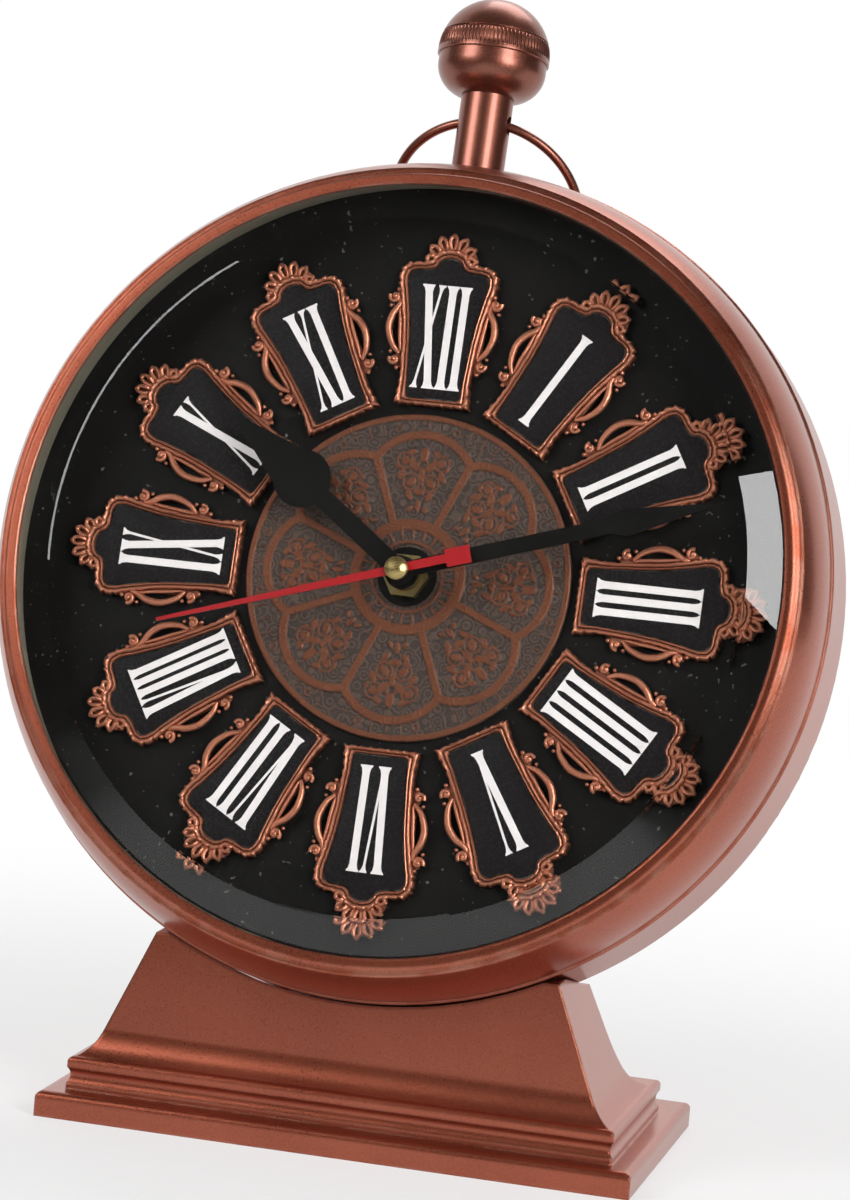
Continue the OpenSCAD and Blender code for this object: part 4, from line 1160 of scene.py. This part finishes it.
class CLOCK_OT_stage(ClockOperator, bpy.types.Operator):
    """Set up the camera, the floor and the studio light"""

    bl_idname = "clock.stage"
    bl_label = "Stage"
    aim = Vector((0, 0, 0.14))
    floor_reach = 4
    # Glow of the floor at the clock, the distances in metres over which it goes over into the
    # white room, and those over which it darkens to the sides and ahead where it is mirrored
    near_glow = 0.55
    glow_range = (0.08, 0.42)
    aside_range = (0.12, 0.5)
    ahead_range = (0, 0.2)
    # Lamps and black cards: name, place, width and height in metres
    lamps = (
        ("key_softbox", (0.90, -0.84, 0.60), 0.5, 0.70),
        ("fill_light", (-0.95, -1.05, 0.90), 0.7, 0.7),
        ("top_light", (0.1, 0.9, 1.4), 1.0, 0.8),
    )
    cards = (
        ("front_card", (-0.1, -2.0, 0.9), 4.2, 3.4),
        ("left_card", (-2.0, -0.7, 0.8), 2.4, 3.0),
        ("right_card", (2.0, -0.7, 0.8), 2.4, 3.0),
        ("top_card", (0, -0.6, 2.2), 3.6, 2.6),
        ("rear_right_card", (1.75, 0.82, 1.1), 1.3, 2.6),
    )

    def softbox(self, name, place, width, height, watts):
        """Area light turned to the clock."""
        light = bpy.data.lights.new(name, "AREA")
        light.shape = "RECTANGLE"
        light.size, light.size_y, light.energy = width, height, watts
        obj = bpy.data.objects.new(name, light)
        bpy.context.scene.collection.objects.link(obj)
        obj.location = place
        obj.rotation_euler = (self.aim - Vector(place)).to_track_quat("-Z", "Y").to_euler()
        return obj

    def sheet(self, name, width, height, material):
        """Flat piece of the stage."""
        bm = bmesh.new()
        bmesh.ops.create_grid(bm, x_segments=1, y_segments=1, size=0.5)
        bmesh.ops.scale(bm, vec=(width, height, 1), verts=bm.verts)
        mesh = bpy.data.meshes.new(name)
        bm.to_mesh(mesh)
        bm.free()
        mesh.materials.append(material)
        obj = bpy.data.objects.new(name, mesh)
        bpy.context.scene.collection.objects.link(obj)
        return obj

    def card(self, name, place, width, height, material):
        """Flat card turned to the clock, which only darkens what the metal and glass mirror."""
        obj = self.sheet(name, width, height, material)
        obj.location = place
        obj.rotation_euler = (self.aim - Vector(place)).to_track_quat("Z", "Y").to_euler()
        obj.visible_camera = obj.visible_diffuse = obj.visible_shadow = False

    def seen(self, s):
        """1 for rays that show the background: straight, mirrored or through glass."""
        kinds = ("Camera", "Glossy", "Transmission")
        rays = [s.node("LightPath", {}, {}, f"Is {kind} Ray") for kind in kinds]
        return (rays[0] + rays[1] + rays[2]).ramp(0, 1)

    def white_room(self, ambient):
        """White to look at, and a lower level of light on the clock."""
        world = bpy.data.worlds.new("White room")
        bpy.context.scene.world = world
        s = Shader(world)
        strength = ambient + self.seen(s) * (1 - ambient)
        s.surface(s.node("Background", {}, {"Color": (1, 1, 1, 1), "Strength": strength}))

    def floor(self):
        """Pale floor that goes over into the white room away from the clock."""
        s = new_shader("Pale floor")
        away = s.node("VectorMath", {"operation": "LENGTH"}, {0: s.place()}, "Value")
        mirrored = s.node("LightPath", {}, {}, "Is Glossy Ray")
        ahead = s.along("Y") * -1
        aside = s.along("X").math("ABSOLUTE")
        dim = mirrored * aside.ramp(*self.aside_range) * ahead.ramp(*self.ahead_range)
        glowing = self.near_glow + away.ramp(*self.glow_range) * (1 - self.near_glow)
        fade = glowing * self.seen(s) * (1 - dim)
        grain = s.noise(0.01, 2)
        tone = grain.mix([0.80] * 3, [0.83] * 3)
        diffuse = s.principled(Base_Color=dim.mix(tone, [0.10] * 3), Roughness=0.7)
        glow = s.node("Emission", {}, {"Color": (1, 1, 1, 1), "Strength": 1.0})
        material = s.surface(s.node("MixShader", {}, {"Fac": fade, 1: diffuse, 2: glow}))
        self.sheet("floor", 2 * self.floor_reach, 2 * self.floor_reach, material)

    def execute(self, context):
        stage = context.scene.clock_stage
        camera = bpy.data.objects.new("camera", bpy.data.cameras.new("camera"))
        context.scene.collection.objects.link(camera)
        axes = Matrix((CAMERA_RIGHT, -Vector(CAMERA_DOWN), -Vector(CAMERA_FORWARD))).transposed()
        camera.matrix_world = Matrix.Translation(CAMERA_PLACE) @ axes.to_4x4()
        camera.data.lens = stage.lens
        context.scene.camera = camera
        context.scene.view_settings.view_transform = "Standard"
        powers = (stage.key_power, stage.fill_power, stage.top_power)
        _, fill, _ = [self.softbox(*lamp, watts) for lamp, watts in zip(self.lamps, powers)]
        # The back of the glass would mirror it over the bevel
        fill.visible_transmission = False
        black = satin_black("Black card", [0.004] * 3, roughness=0.9)
        for card in self.cards:
            self.card(*card, black)
        self.white_room(stage.ambient)
        self.floor()
        return {"FINISHED"}


class CLOCK_PT_panel(bpy.types.Panel):
    """Steps and settings of the clock"""

    bl_idname = "CLOCK_PT_panel"
    bl_label = "Table Clock"
    bl_space_type = "VIEW_3D"
    bl_region_type = "UI"
    bl_category = "Clock"

    def draw(self, context):
        for operator in OPERATORS:
            self.layout.operator(operator.bl_idname)
        for group, kind in GROUPS.items():
            box = self.layout.box()
            for name in kind.__annotations__:
                box.prop(getattr(context.scene, group), name)


GROUPS = {"clock_ornament": ClockOrnament, "clock_finish": ClockFinish, "clock_stage": ClockStage}
OPERATORS = (
    CLOCK_OT_case,
    CLOCK_OT_crown,
    CLOCK_OT_crystal,
    CLOCK_OT_dial,
    CLOCK_OT_numeral_frames,
    CLOCK_OT_numerals,
    CLOCK_OT_hands,
    CLOCK_OT_movement,
    CLOCK_OT_stage,
)
CLASSES = (*GROUPS.values(), *OPERATORS, CLOCK_PT_panel)


def register():
    for cls in CLASSES:
        bpy.utils.register_class(cls)
    for name, group in GROUPS.items():
        setattr(bpy.types.Scene, name, PointerProperty(type=group))


def unregister():
    for name in GROUPS:
        delattr(bpy.types.Scene, name)
    for cls in reversed(CLASSES):
        bpy.utils.unregister_class(cls)


def main():
    register()
    for operator in OPERATORS:
        getattr(bpy.ops.clock, operator.bl_idname.partition(".")[2])()


if __name__ == "__main__":
    main()
